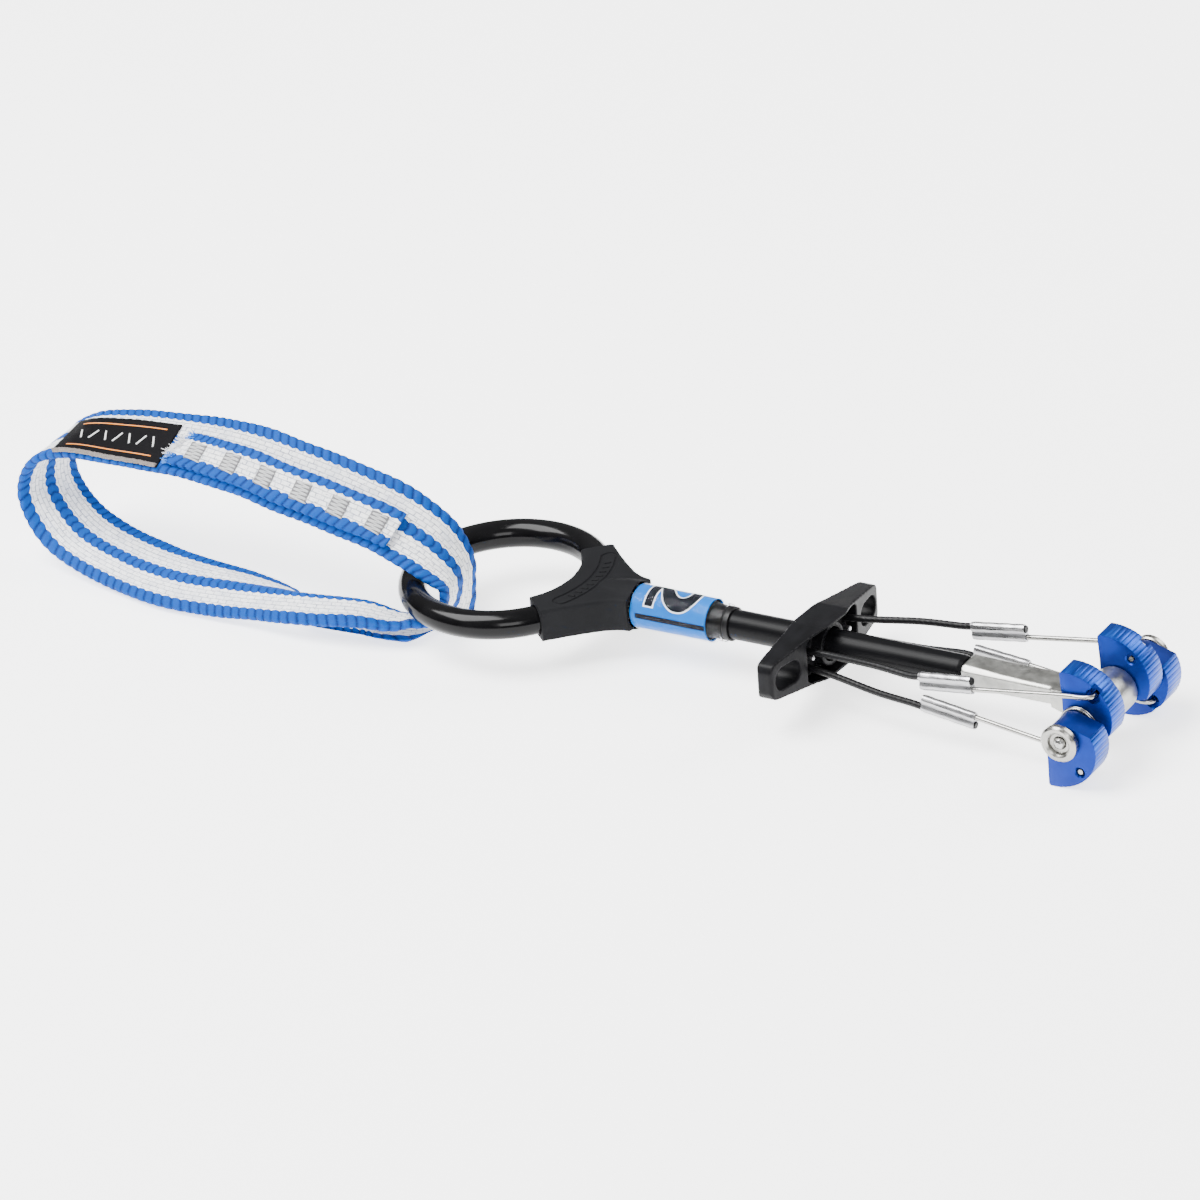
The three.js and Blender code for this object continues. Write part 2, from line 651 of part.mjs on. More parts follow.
const tackCount = 6;
for (let i = 0; i < tackCount; i += 1) {
  const at = lapFrom + (lapTo - lapFrom) * (0.09 + 0.83 * i / (tackCount - 1));
  addPiece(`bar_tack_${i + 1}`, bandLayer({
    t0: at - station(0.13), t1: at + station(0.13), u0: -half + 2.6, u1: -half + 7.6,
    h0: lapTop + 0.1, h1: lapTop + 0.5, steps: 2,
  }), cloth.thread, 0.7, 0);
}

device.updateMatrixWorld(true);
const bounds = new THREE.Box3().setFromObject(device, true);
const middle = bounds.getCenter(new THREE.Vector3());
device.position.set(-middle.x, -middle.y, -bounds.min.z);

export default device;
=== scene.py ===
"""A spring loaded camming device with its webbing sling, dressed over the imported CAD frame.

Shapes are drawn in millimetres about the centre of the thumb loop, with +X along the stem and +Y
along the cam axle, and are put into the frame in metres. Side a is the camera's side, at -Y.
"""

import random
from math import acos, atan2, copysign, cos, dist, exp, hypot, pi, radians, sin, tan

import bmesh
import bpy
import numpy as np
from mathutils import Matrix, Vector
from mathutils.bvhtree import BVHTree


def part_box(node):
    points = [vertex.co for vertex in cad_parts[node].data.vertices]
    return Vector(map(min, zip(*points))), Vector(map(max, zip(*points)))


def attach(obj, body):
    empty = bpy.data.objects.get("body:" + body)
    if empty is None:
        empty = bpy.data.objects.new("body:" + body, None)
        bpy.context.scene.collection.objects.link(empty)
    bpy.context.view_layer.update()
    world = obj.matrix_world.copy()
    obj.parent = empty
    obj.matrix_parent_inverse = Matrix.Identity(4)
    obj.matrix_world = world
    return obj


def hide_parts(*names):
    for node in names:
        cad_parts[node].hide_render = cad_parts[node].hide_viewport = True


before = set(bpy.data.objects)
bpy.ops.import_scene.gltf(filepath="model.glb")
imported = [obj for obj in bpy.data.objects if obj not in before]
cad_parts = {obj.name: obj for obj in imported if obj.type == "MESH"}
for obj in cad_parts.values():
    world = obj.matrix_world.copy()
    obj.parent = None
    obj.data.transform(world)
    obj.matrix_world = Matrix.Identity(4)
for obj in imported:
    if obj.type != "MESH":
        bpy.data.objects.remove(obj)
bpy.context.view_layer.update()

MM = 0.001
AXLE_X = 161.0
AT_AXLE = (AXLE_X, 0, 0)
AXLE_R = 1.75
AXLE_BORE = 1.83
SIDES = (("a", -1), ("b", 1))


def centre(node):
    low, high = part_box(node)
    return (low + high) / 2


ORIGIN = centre("axle") - Vector(AT_AXLE) * MM
FLOOR = -ORIGIN.z / MM


# ---- mesh tools, in millimetres
def raw_mesh(name, points, faces, uvs=None):
    mesh = bpy.data.meshes.new(name)
    mesh.from_pydata([tuple(p) for p in np.asarray(points, float)], [], faces)
    if uvs is not None:
        layer = mesh.uv_layers.new(name="UVMap")
        layer.data.foreach_set("uv", np.asarray(uvs, np.float32).ravel())
    mesh.validate()
    thing = bpy.data.objects.new(name, mesh)
    bpy.context.scene.collection.objects.link(thing)
    return thing


def modify(thing, kind, **settings):
    """Adds a modifier and applies it."""
    modifier = thing.modifiers.new("change", kind)
    for key, value in settings.items():
        setattr(modifier, key, value)
    graph = bpy.context.evaluated_depsgraph_get()
    mesh = bpy.data.meshes.new_from_object(thing.evaluated_get(graph))
    thing.modifiers.clear()
    old = thing.data
    thing.data = mesh
    bpy.data.meshes.remove(old)


def boolean(thing, tool, operation="DIFFERENCE"):
    modify(thing, "BOOLEAN", operation=operation, solver="EXACT", object=tool)
    bpy.data.objects.remove(tool)


def melt(thing, voxel, rounds):
    """Fuses the shapes of one object into a moulded or forged skin with soft edges."""
    modify(thing, "REMESH", mode="VOXEL", voxel_size=voxel)
    modify(thing, "SMOOTH", iterations=rounds, factor=0.5)


def bevel(thing, width, segments):
    modify(thing, "BEVEL", width=width, segments=segments, limit_method="ANGLE",
           angle_limit=radians(50))


def finish(thing, material, node="", smooth=40, body="frame"):
    """Moves a piece from millimetres into the frame, and gives it its body and material."""
    thing.data.transform(Matrix.Translation(ORIGIN) @ Matrix.Scale(MM, 4))
    thing.data.polygons.foreach_set("use_smooth", [True] * len(thing.data.polygons))
    if smooth:
        thing.data.set_sharp_from_angle(angle=radians(smooth))
    thing.data.materials.clear()
    thing.data.materials.append(material)
    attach(thing, body)
    if node:
        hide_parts(node)
    return thing


def grid(rows, cols, wrap_rows=False, wrap_cols=False):
    """Quads over a grid of points, and for each corner its row and column before wrapping."""
    faces, corners = [], []
    for i in range(rows if wrap_rows else rows - 1):
        for j in range(cols if wrap_cols else cols - 1):
            quad = [(i, j), (i, j + 1), (i + 1, j + 1), (i + 1, j)]
            faces.append([(a % rows) * cols + b % cols for a, b in quad])
            corners += quad
    return faces, corners


def unit(v):
    return v / np.maximum(np.linalg.norm(v, axis=-1, keepdims=True), 1e-12)


def rolling_frames(path, closed):
    """Two normals along a path that don't twist about it."""
    if closed:
        tangent = unit(np.roll(path, -1, 0) - np.roll(path, 1, 0))
    else:
        tangent = unit(np.gradient(path, axis=0))
    start = np.array([0.0, 0.0, 1.0])
    if abs(tangent[0] @ start) > 0.9:
        start = np.array([0.0, 1.0, 0.0])
    first = np.zeros_like(path)
    first[0] = unit(start - tangent[0] * (start @ tangent[0]))
    for i in range(1, len(path)):
        first[i] = unit(first[i - 1] - tangent[i] * (first[i - 1] @ tangent[i]))
    return first, np.cross(tangent, first)


def arc_length(path):
    return np.concatenate([[0], np.cumsum(np.linalg.norm(np.diff(path, axis=0), axis=1))])


def swept(name, path, section, closed=False):
    """A solid along a path. The section is points, or a function of the length and the share along it."""
    path = np.asarray(path, float)
    first, second = rolling_frames(path, closed)
    along = arc_length(path)
    rings = []
    for i, p in enumerate(path):
        s = section(along[i], i / (len(path) - 1)) if callable(section) else section
        rings.append(p + s[:, :1] * first[i] + s[:, 1:2] * second[i])
    count = len(rings[0])
    faces, corners = grid(len(path), count, closed, True)
    uvs = [(along[min(i, len(along) - 1)], j / count) for i, j in corners]
    if not closed:
        faces += [list(range(count))[::-1], [(len(path) - 1) * count + j for j in range(count)]]
        uvs += [(0, 0)] * (2 * count)
    return raw_mesh(name, np.concatenate(rings), faces, uvs)


def full_turn(sides):
    return np.linspace(0, 2 * np.pi, sides, endpoint=False)


def circle(radius, sides=32):
    turn = full_turn(sides)
    return np.stack([radius * np.cos(turn), radius * np.sin(turn)], 1)


def rounded(outline, radius, closed=True):
    """Rounds the corners of an outline of (x, y) or (x, y, own radius)."""
    points = [np.array(p[:2], float) for p in outline]
    radii = [p[2] if len(p) > 2 else radius for p in outline]
    out = []
    n = len(points)
    for i, p in enumerate(points):
        if not closed and i in (0, n - 1):
            out.append(p)
            continue
        before, after = points[i - 1] - p, points[(i + 1) % n] - p
        a, b = np.linalg.norm(before), np.linalg.norm(after)
        u, v = before / a, after / b
        half = acos(np.clip(u @ v, -1, 1)) / 2
        reach = min(radii[i] / max(tan(half), 1e-6), 0.45 * a, 0.45 * b)
        if reach < 1e-4 or half > 1.55:
            out.append(p)
            continue
        for t in (0, 0.25, 0.5, 0.75, 1):
            out.append((1 - t) ** 2 * (p + u * reach) + 2 * t * (1 - t) * p + t * t * (p + v * reach))
    return np.array(out)


def turned(name, outline, axis="X", at=(0, 0, 0), sides=96, radius=0.0):
    """A turned piece from its (along, radius) outline: open on the axis, or a closed loop."""
    open_ends = outline[0][1] == 0
    profile = rounded(outline, radius, closed=not open_ends)
    points = np.concatenate([
        np.column_stack([np.full(sides, along), circle(r, sides)]) for along, r in profile])
    faces, corners = grid(len(profile), sides, not open_ends, True)
    along_uv = arc_length(profile)
    uvs = [(along_uv[min(i, len(along_uv) - 1)], j / sides) for i, j in corners]
    if axis == "Y":
        points = np.stack([-points[:, 1], points[:, 0], points[:, 2]], 1)
    thing = raw_mesh(name, points + np.array(at, float), faces, uvs)
    modify(thing, "WELD", merge_threshold=1e-4)
    return outward(thing)


def rod(low, high, radius, axis="X", at=(0, 0, 0), sides=64):
    """A plain cylinder, to cut a bore with."""
    return turned("rod", [(low, 0), (low, radius), (high, radius), (high, 0)], axis, at, sides)


def outward(thing):
    """Turns the faces of a closed piece outward."""
    bm = bmesh.new()
    bm.from_mesh(thing.data)
    bmesh.ops.recalc_face_normals(bm, faces=bm.faces)
    if bm.calc_volume(signed=True) < 0:
        bmesh.ops.reverse_faces(bm, faces=bm.faces)
    bm.to_mesh(thing.data)
    bm.free()
    return thing


def plate(name, outline, low, high, axis="Z"):
    """A flat outline made into a plate. Outlines are (x, y) for Z, (x, z) for Y and (y, z) for X."""
    a, b = np.asarray(outline, float).T
    n = len(outline)
    ring = []
    for level in (low, high):
        flat = np.full(n, level)
        order = {"Z": (a, b, flat), "Y": (a, flat, b), "X": (flat, a, b)}[axis]
        ring.append(np.stack(order, 1))
    faces = [[j, (j + 1) % n, n + (j + 1) % n, n + j] for j in range(n)]
    faces += [list(range(n))[::-1], list(range(n, 2 * n))]
    return outward(raw_mesh(name, np.concatenate(ring), faces))


def arc(cx, cy, radius, start, end, steps):
    turn = np.radians(np.linspace(start, end, steps + 1))
    return [(cx + radius * cos(t), cy + radius * sin(t)) for t in turn]


def mirrored(half):
    return list(half) + [(a, -b) for a, b in reversed(half)]


def curve_through(points, closed, samples):
    """A centripetal Catmull-Rom curve, evenly sampled in its parameter."""
    p = np.asarray(points, float)
    if closed:
        p = np.concatenate([p[-1:], p, p[:2]])
    else:
        p = np.concatenate([[2 * p[0] - p[1]], p, [2 * p[-1] - p[-2]]])
    spans = len(p) - 3
    out = []
    for k in range(samples if closed else samples + 1):
        t = k / samples * spans
        i = min(int(t), spans - 1)
        w = t - i
        q = p[i:i + 4]
        d = [max(np.linalg.norm(q[m + 1] - q[m]), 1e-6) ** 0.5 for m in range(3)]
        m1 = ((q[1] - q[0]) / d[0] - (q[2] - q[0]) / (d[0] + d[1]) + (q[2] - q[1]) / d[1]) * d[1]
        m2 = ((q[2] - q[1]) / d[1] - (q[3] - q[1]) / (d[1] + d[2]) + (q[3] - q[2]) / d[2]) * d[1]
        a = 2 * q[1] - 2 * q[2] + m1 + m2
        b = -3 * q[1] + 3 * q[2] - 2 * m1 - m2
        out.append(((a * w + b) * w + m1) * w + q[1])
    return np.array(out)


# ---- materials
class Nodes:
    """Helpers for the nodes of a material or a world."""

    def __init__(self, owner):
        owner.use_nodes = True
        self.tree = owner.node_tree
        self.place = self.tree.nodes.new("ShaderNodeTexCoord").outputs

    def node(self, kind, inputs, out=0, **settings):
        node = self.tree.nodes.new("ShaderNode" + kind)
        for key, value in settings.items():
            setattr(node, key, value)
        for key, value in inputs.items():
            if isinstance(value, bpy.types.NodeSocket):
                self.tree.links.new(value, node.inputs[key])
            else:
                node.inputs[key].default_value = value
        return node.outputs[out]

    def ramp(self, value, *stops):
        node = self.tree.nodes.new("ShaderNodeValToRGB")
        self.tree.links.new(value, node.inputs[0])
        elements = node.color_ramp.elements
        while len(elements) < len(stops):
            elements.new(0.5)
        for element, (position, level) in zip(elements, stops):
            element.position = position
            color = (level, level, level) if isinstance(level, (int, float)) else level
            element.color = (*color, 1)
        return node.outputs[0]


class Look(Nodes):
    """A procedural material: a Principled shader and what feeds it."""

    def __init__(self, name, slot, color, roughness, metallic=0.0, specular=0.5, **sockets):
        self.material = bpy.data.materials.new(name)
        super().__init__(self.material)
        self.material["slot"] = slot
        self.shader = self.tree.nodes["Principled BSDF"].inputs
        sockets |= {"Base_Color": (*color, 1), "Roughness": roughness, "Metallic": metallic,
                    "Specular_IOR_Level": specular}
        for socket, value in sockets.items():
            self.shader[socket.replace("_", " ")].default_value = value

    def noise(self, scale, detail=3.0, rough=0.55, vector=None):
        return self.node("TexNoise", {
            "Vector": vector or self.place["Object"], "Scale": scale, "Detail": detail,
            "Roughness": rough})

    def streaks(self, scale, detail, rough, source="Object", turn=0.0):
        """Noise with its own scale along each axis."""
        stretched = self.node("Mapping", {
            "Vector": self.place[source], "Scale": scale, "Rotation": (0, 0, turn)})
        return self.noise(1.0, detail, rough, stretched)

    def cells(self, scale):
        return self.node("TexVoronoi", {"Vector": self.place["Object"], "Scale": scale})

    def math(self, operation, a, b=0.0):
        return self.node("Math", {0: a, 1: b}, operation=operation)

    def mix(self, factor, a, b):
        colors = [c if isinstance(c, bpy.types.NodeSocket) else (*c, 1) for c in (a, b)]
        return self.node("Mix", {0: factor, 6: colors[0], 7: colors[1]}, out=2, data_type="RGBA")

    def paint(self, color):
        self.tree.links.new(color, self.shader["Base Color"])

    def tint(self, value, *stops):
        self.paint(self.ramp(value, *stops))

    def gloss(self, value, *stops):
        self.tree.links.new(self.ramp(value, *stops), self.shader["Roughness"])

    def bumped(self, *layers):
        """Puts bumps of (height, strength, depth in millimetres) one on top of another."""
        below = {}
        for height, strength, depth in layers:
            bump = {"Height": height, "Strength": strength, "Distance": depth * MM}
            below = {"Normal": self.node("Bump", bump | below)}
        self.tree.links.new(below["Normal"], self.shader["Normal"])
        return self.material


def coated_black():
    look = Look("coated_black", "loop_sheath", (0.002, 0.002, 0.0024), 0.2, specular=0.15)
    look.tint(look.noise(160), (0.35, (0.0015, 0.0015, 0.0018)), (0.7, (0.0035, 0.0035, 0.004)))
    look.gloss(look.streaks((500, 500, 1200), 4, 0.6), (0.3, 0.10), (0.75, 0.20))
    return look.bumped((look.noise(90, 2), 0.2, 0.2), (look.noise(2600), 0.08, 0.02))


def stem_plastic():
    look = Look("stem_plastic", "stem_black", (0.003, 0.003, 0.0035), 0.32, specular=0.08)
    along = look.streaks((60, 2400, 2400), 5, 0.6)
    look.tint(along, (0.3, (0.002, 0.002, 0.0024)), (0.75, (0.005, 0.005, 0.0058)))
    look.gloss(along, (0.3, 0.26), (0.75, 0.42))
    return look.bumped((along, 0.15, 0.05), (look.noise(120, 2), 0.2, 0.15))


def collar_plastic():
    look = Look("collar_plastic", "collar_black", (0.003, 0.003, 0.0035), 0.4, specular=0.2)
    grain = look.noise(1500)
    look.gloss(grain, (0.3, 0.3), (0.7, 0.5))
    return look.bumped((look.noise(300), 0.35, 0.12), (grain, 0.2, 0.04))


def moulded_rubber():
    look = Look("moulded_rubber", "boot_rubber", (0.007, 0.0072, 0.008), 0.75, specular=0.08)
    dust = look.noise(3200, 4, 0.7)
    patches = look.noise(110, 4, 0.6)
    patches = look.ramp(patches, (0.3, (0.005, 0.0052, 0.006)), (0.72, (0.009, 0.0094, 0.0105)))
    specks = look.ramp(dust, (0.3, (0.004, 0.004, 0.0047)), (0.8, (0.014, 0.0145, 0.016)))
    look.paint(look.mix(0.5, patches, specks))
    look.gloss(dust, (0.3, 0.62), (0.75, 0.84))
    return look.bumped((look.noise(700), 0.12, 0.12), (dust, 0.35, 0.05))


def label_film():
    look = Look("label_film", "label_blue", (0.0, 0.13, 0.50), 0.35, specular=0.06)
    look.tint(look.noise(90), (0.3, (0.0, 0.115, 0.46)), (0.75, (0.0, 0.145, 0.55)))
    look.gloss(look.noise(1200), (0.3, 0.28), (0.7, 0.42))
    return look.bumped((look.noise(500), 0.08, 0.05))


def print_ink(name, color):
    look = Look(name, "label_blue", color, 0.6, specular=0.04)
    look.gloss(look.noise(1500), (0.3, 0.5), (0.7, 0.7))
    return look.bumped((look.noise(900), 0.1, 0.03))


def clear_film():
    look = Look("clear_film", "clear_film", (0.99, 0.995, 1.0), 0.06, Transmission_Weight=1.0, IOR=1.07)
    wrinkles = look.streaks((120, 420, 420), 3, 0.6)
    look.gloss(wrinkles, (0.3, 0.02), (0.75, 0.06))
    return look.bumped((wrinkles, 0.15, 0.15), (look.noise(900), 0.05, 0.03))


def steel(name, slot, color, roughness, stretch, depth=0.03):
    look = Look(name, slot, color, roughness, 1.0)
    scratches = look.streaks(stretch, 6, 0.65)
    stains = look.ramp(look.noise(220, 4, 0.6), (0.35, 0.0), (0.8, 0.6))
    look.paint(look.mix(stains, color, tuple(0.6 * c for c in color)))
    look.gloss(scratches, (0.25, roughness - 0.1), (0.8, roughness + 0.14))
    return look.bumped((scratches, 0.25, depth), (look.noise(2500), 0.1, 0.02))


def forged_steel():
    look = Look("forged_steel", "terminal_steel", (0.45, 0.45, 0.43), 0.36, 1.0)
    mottle = look.noise(420, 5, 0.65)
    look.tint(mottle, (0.25, (0.30, 0.30, 0.28)), (0.75, (0.50, 0.50, 0.475)))
    look.gloss(mottle, (0.25, 0.26), (0.75, 0.46))
    return look.bumped((mottle, 0.35, 0.10), (look.cells(1300), 0.18, 0.05), (look.noise(3200), 0.15, 0.02))


def anodised(name, grooved):
    """Dyed aluminium: satin on the sawn faces, streaked by the cutter on the cam face."""
    look = Look(name, "lobe_blue", (0.008, 0.085, 0.55), 0.34, 0.75)
    if grooved:
        streaks = look.streaks((1000, 60, 1000), 5, 0.7)
        look.tint(streaks, (0.25, (0.0, 0.020, 0.17)), (0.5, (0.001, 0.045, 0.34)),
                  (0.85, (0.012, 0.14, 0.66)))
        look.gloss(streaks, (0.3, 0.24), (0.8, 0.42))
        return look.bumped((streaks, 0.5, 0.08))
    grain = look.noise(2600, 4, 0.6)
    look.tint(look.noise(130), (0.3, (0.0, 0.014, 0.16)), (0.75, (0.0, 0.024, 0.24)))
    look.gloss(grain, (0.3, 0.32), (0.8, 0.48))
    return look.bumped((grain, 0.25, 0.03), (look.noise(300), 0.08, 0.06))


def nylon():
    look = Look("moulded_nylon", "trigger_black", (0.005, 0.005, 0.006), 0.42, specular=0.09)
    flow = look.streaks((260, 130, 260), 4, 0.6)
    look.tint(flow, (0.3, (0.003, 0.003, 0.0035)), (0.8, (0.009, 0.009, 0.0105)))
    look.gloss(flow, (0.3, 0.34), (0.8, 0.52))
    return look.bumped((look.cells(3800), 0.22, 0.04), (look.noise(500), 0.12, 0.08))


def cable_coat():
    look = Look("cable_coat", "cable_black", (0.003, 0.003, 0.0036), 0.42, specular=0.2)
    fuzz = look.noise(3000)
    look.gloss(fuzz, (0.3, 0.34), (0.7, 0.54))
    return look.bumped((fuzz, 0.2, 0.03))


def tape_weave():
    """Nylon tape: in its UVs, u runs along the tape and v across it, in millimetres."""
    look = Look("tape_weave", "web_blue_white", (0.7, 0.7, 0.72), 0.6, specular=0.1)
    uv = look.place["UV"]
    along = look.node("SeparateXYZ", {0: uv})
    off = look.math("ABSOLUTE", look.node("SeparateXYZ", {0: uv}, out=1))
    lay = look.math("ADD", along, look.math("MULTIPLY", off, SLANT))
    rope = look.math("ABSOLUTE", look.math("SINE", look.math("MULTIPLY", lay, pi / ROPE)))
    wave = look.math("MULTIPLY", rope, 0.45)
    outer = look.math("GREATER_THAN", look.math("ADD", off, wave), HALF_WIDTH - BLUE_EDGE + 0.2)
    inner = look.math("LESS_THAN", look.math("SUBTRACT", off, wave), BLUE_CENTRE / 2 - 0.2)
    blue = look.math("MAXIMUM", outer, inner)

    wobble = look.node("TexNoise", {"Vector": uv, "Scale": 0.5, "Detail": 2.0}, out=1)
    bent = look.node("VectorMath", {0: wobble, 1: (0.9, 0.22, 0)}, operation="MULTIPLY")
    rows = look.node("VectorMath", {0: uv, 1: bent}, operation="ADD")
    rows = look.node("Mapping", {"Vector": rows, "Location": (0, ROWS_BELOW * ROW, 0)})
    picks = look.node("TexBrick", {
        "Vector": rows, "Color1": (1, 1, 1, 1), "Color2": (0.72, 0.72, 0.72, 1), "Mortar": (0, 0, 0, 1),
        "Scale": 1.0, "Mortar Size": 0.17, "Mortar Smooth": 1.0, "Brick Width": PICK,
        "Row Height": ROW, "Bias": 0.0})
    fibres_and_highlights = look.streaks((1.6, 9, 1), 4, 0.65, "UV")
    dashes = look.streaks((1.0, 4.2, 1), 2, 0.5, "UV", 0.5)
    shade = look.streaks((0.16, 0.3, 1), 2, 0.5, "UV")
    # Painted shade: the grey-blue lines between the weave's blocks, made patchy by a noise, stand for shade
    # in the gaps of the weave.
    gap_shade = look.ramp(picks, (0.1, 1.0), (0.9, 0.0))
    patchy_gap_shade = look.ramp(look.noise(0.55, 2, 0.5, uv), (0.35, 0.45), (0.65, 1.0))
    white = look.mix(look.math("MULTIPLY", gap_shade, patchy_gap_shade), (0.95, 0.955, 0.965), (0.20, 0.23, 0.32))
    white = look.mix(look.ramp(dashes, (0.29, 0.9), (0.40, 0.0)), white, (0.13, 0.15, 0.20))
    # Painted shade: broad soft blue-grey bands along the white stripes.
    white = look.mix(look.ramp(shade, (0.5, 0.0), (0.75, 0.45)), white, (0.45, 0.50, 0.62))
    # Painted shade and highlight on the blue cords: the dye goes near black in the valleys between the
    # rope's bumps, and lighter streaks along the fibres are painted highlights.
    dyed = look.mix(look.ramp(rope, (0.05, 1.0), (0.75, 0.0)), (0.0, 0.052, 0.30), (0.0, 0.010, 0.085))
    dyed = look.mix(look.ramp(fibres_and_highlights, (0.5, 0.0), (0.8, 0.8)), dyed, (0.0, 0.12, 0.44))
    look.paint(look.mix(blue, white, dyed))
    look.gloss(fibres_and_highlights, (0.3, 0.5), (0.8, 0.72))
    return look.bumped((look.mix(blue, picks, rope), 0.7, 0.20), (fibres_and_highlights, 0.6, 0.14), (dashes, 0.3, 0.10))


def thread(name, slot, color, pale):
    look = Look(name, slot, color, 0.6, Sheen_Weight=0.3)
    strands = look.streaks((3, 9, 1), 4, 0.6, "UV")
    look.tint(strands, (0.3, color), (0.75, pale))
    return look.bumped((strands, 0.5, 0.05))


def woven_label():
    look = Look("woven_label", "tag_black", (0.006, 0.006, 0.007), 0.6, specular=0.04)
    ribs = look.node("TexWave", {"Vector": look.place["UV"], "Scale": 1.5}, out=1,
                     bands_direction="X")
    fill = look.streaks((10, 3, 1), 3, 0.6, "UV")
    look.tint(fill, (0.3, (0.002, 0.002, 0.0025)), (0.8, (0.010, 0.0095, 0.011)))
    look.gloss(fill, (0.3, 0.45), (0.8, 0.65))
    return look.bumped((ribs, 0.35, 0.05), (fill, 0.4, 0.05))


# ---- the sling
TAPE = 18.3
HALF_WIDTH = TAPE / 2
BLUE_EDGE = 2.7
BLUE_CENTRE = 2.9
ROPE = 2.4          # length of one bump of the corded edges
TAPE_HALF = 0.95    # half of the tape's thickness
LAP_INSET = 1.6     # how far the lap's near edge lies inside the tape's
LAP_EDGE = LAP_INSET + 0.1 - HALF_WIDTH
LAP_WIDTH = 9.7
LAP_SKEW = 3.6      # how much farther back its cut end lies at the far edge
LAP_SEED = 3
FLOOR_GAP = 0.35    # least height of the tape over the floor
FLOOR_EASE = 0.2    # how softly it comes to rest there
FOLD_SOFT = 2.6     # width of tape that bends where it is folded lengthwise
PICK = 2.4          # length of one block of the weave
ROW = 1.15          # width of one row of the weave
ROWS_BELOW = 10     # rows counted from the middle of the tape to where row 0 starts
SLANT = 0.42        # how far the rope's strands lean, in millimetres along per millimetre across

# The middle of the tape and the way across it, round the loop. The last number is the fold of the far
# half under the near one, in degrees: there the tape stands up on its folded edge.
STATIONS = [
    ((-11.2, -4.5, 0), (-0.12, 0.99, 0), 0),
    ((-13.2, -7.5, -7.0), (-0.1, 0.99, -0.08), 35),
    ((-20.5, -11.2, -8.2), (0, 0.96, -0.26), 126),
    ((-30, -14.1, -4.9), (0, 0.99, 0.13), 134),
    ((-43, -16.2, -4.6), (0, 0.94, 0.34), 135),
    ((-55.5, -15.8, -6.3), (-0.03, 0.94, 0.34), 50),
    ((-68, -15.4, -7.7), (-0.05, 0.93, 0.36), 27),
    ((-83, -15.2, -8.5), (0, 0.94, 0.34), 10),
    ((-101, -11.6, -8.6), (0.22, 0.94, 0.25), 0),
    ((-117.5, -7.3, -5.2), (0.38, 0.9, 0.2), 0),
    ((-126.6, -3.6, 3.7), (0.3, 0.95, 0), 0),
    ((-124.2, -2.8, 13.4), (0.12, 0.99, 0.04), 0),
    ((-116, -2.8, 18.2), (0, 0.99, 0.12), 0),
    ((-102.5, -3.0, 20.4), (-0.08, 0.95, 0.28), 0),
    ((-84.5, -3.6, 21.8), (-0.1, 0.92, 0.39), 0),
    ((-68, -4.8, 21.8), (0, 0.8, 0.58), 0),
    ((-52, -5.9, 20.0), (0.08, 0.72, 0.69), 0),
    ((-36, -6.0, 16.6), (0.1, 0.72, 0.68), 0),
    ((-24.5, -5.4, 12.4), (0.1, 0.8, 0.58), 0),
    ((-16.4, -4.6, 7.2), (0.05, 0.92, 0.36), 0),
]
FINE = 2400
_middle = curve_through([middle for middle, _, _ in STATIONS], True, FINE)
_across = curve_through([across for _, across, _ in STATIONS], True, FINE)
_fold = curve_through([(fold, 0, 0) for _, _, fold in STATIONS], True, FINE)
_tangent = unit(np.roll(_middle, -1, 0) - np.roll(_middle, 1, 0))
_across = unit(_across - _tangent * (_across * _tangent).sum(1, keepdims=True))
_outward = np.cross(_tangent, _across)
_run = arc_length(np.vstack([_middle, _middle[:1]]))
LOOP_LENGTH = _run[-1]


def at_station(number):
    """Length along the loop, in millimetres, of a station."""
    return np.interp(number / len(STATIONS) * FINE, np.arange(FINE + 1), _run)


LAP_FROM = at_station(13.95)
LAP_TO = at_station(18.0)


def tape_frame(s):
    """The tape's middle, the ways across it and outward, and its fold, at lengths along the loop."""
    k = np.interp(s % LOOP_LENGTH, _run, np.arange(FINE + 1)) % FINE
    low = k.astype(int)
    share = (k - low)[..., None]

    def pick(curve):
        return curve[low] * (1 - share) + curve[(low + 1) % FINE] * share

    return pick(_middle), unit(pick(_across)), unit(pick(_outward)), np.maximum(pick(_fold)[..., 0], 0)


def on_tape(s, u, h):
    """Points of the tape: s along it, u across it and h above its middle layer, kept off the floor."""
    middle, across, outward_way, fold = tape_frame(s)
    total = np.radians(fold)
    span = np.maximum(u + FOLD_SOFT / 2, 0)
    along, down = np.minimum(u, -FOLD_SOFT / 2), np.zeros_like(span)
    steps = 24
    for k in range(steps):
        angle = total * np.clip(span * (k + 0.5) / steps / FOLD_SOFT, 0, 1)
        along = along + np.cos(angle) * span / steps
        down = down + np.sin(angle) * span / steps
    angle = (total * np.clip(span / FOLD_SOFT, 0, 1))[..., None]
    layer = middle + across * along[..., None] + outward_way * down[..., None]
    sunk = FLOOR + TAPE_HALF + FLOOR_GAP - layer[..., 2]
    layer[..., 2] += (sunk + np.sqrt(sunk ** 2 + FLOOR_EASE ** 2)) / 2
    return layer + (outward_way * np.cos(angle) - across * np.sin(angle)) * h[..., None]


def rope_bump(s, phase):
    return np.abs(np.sin(np.pi * (s + phase) / ROPE)) ** 0.7


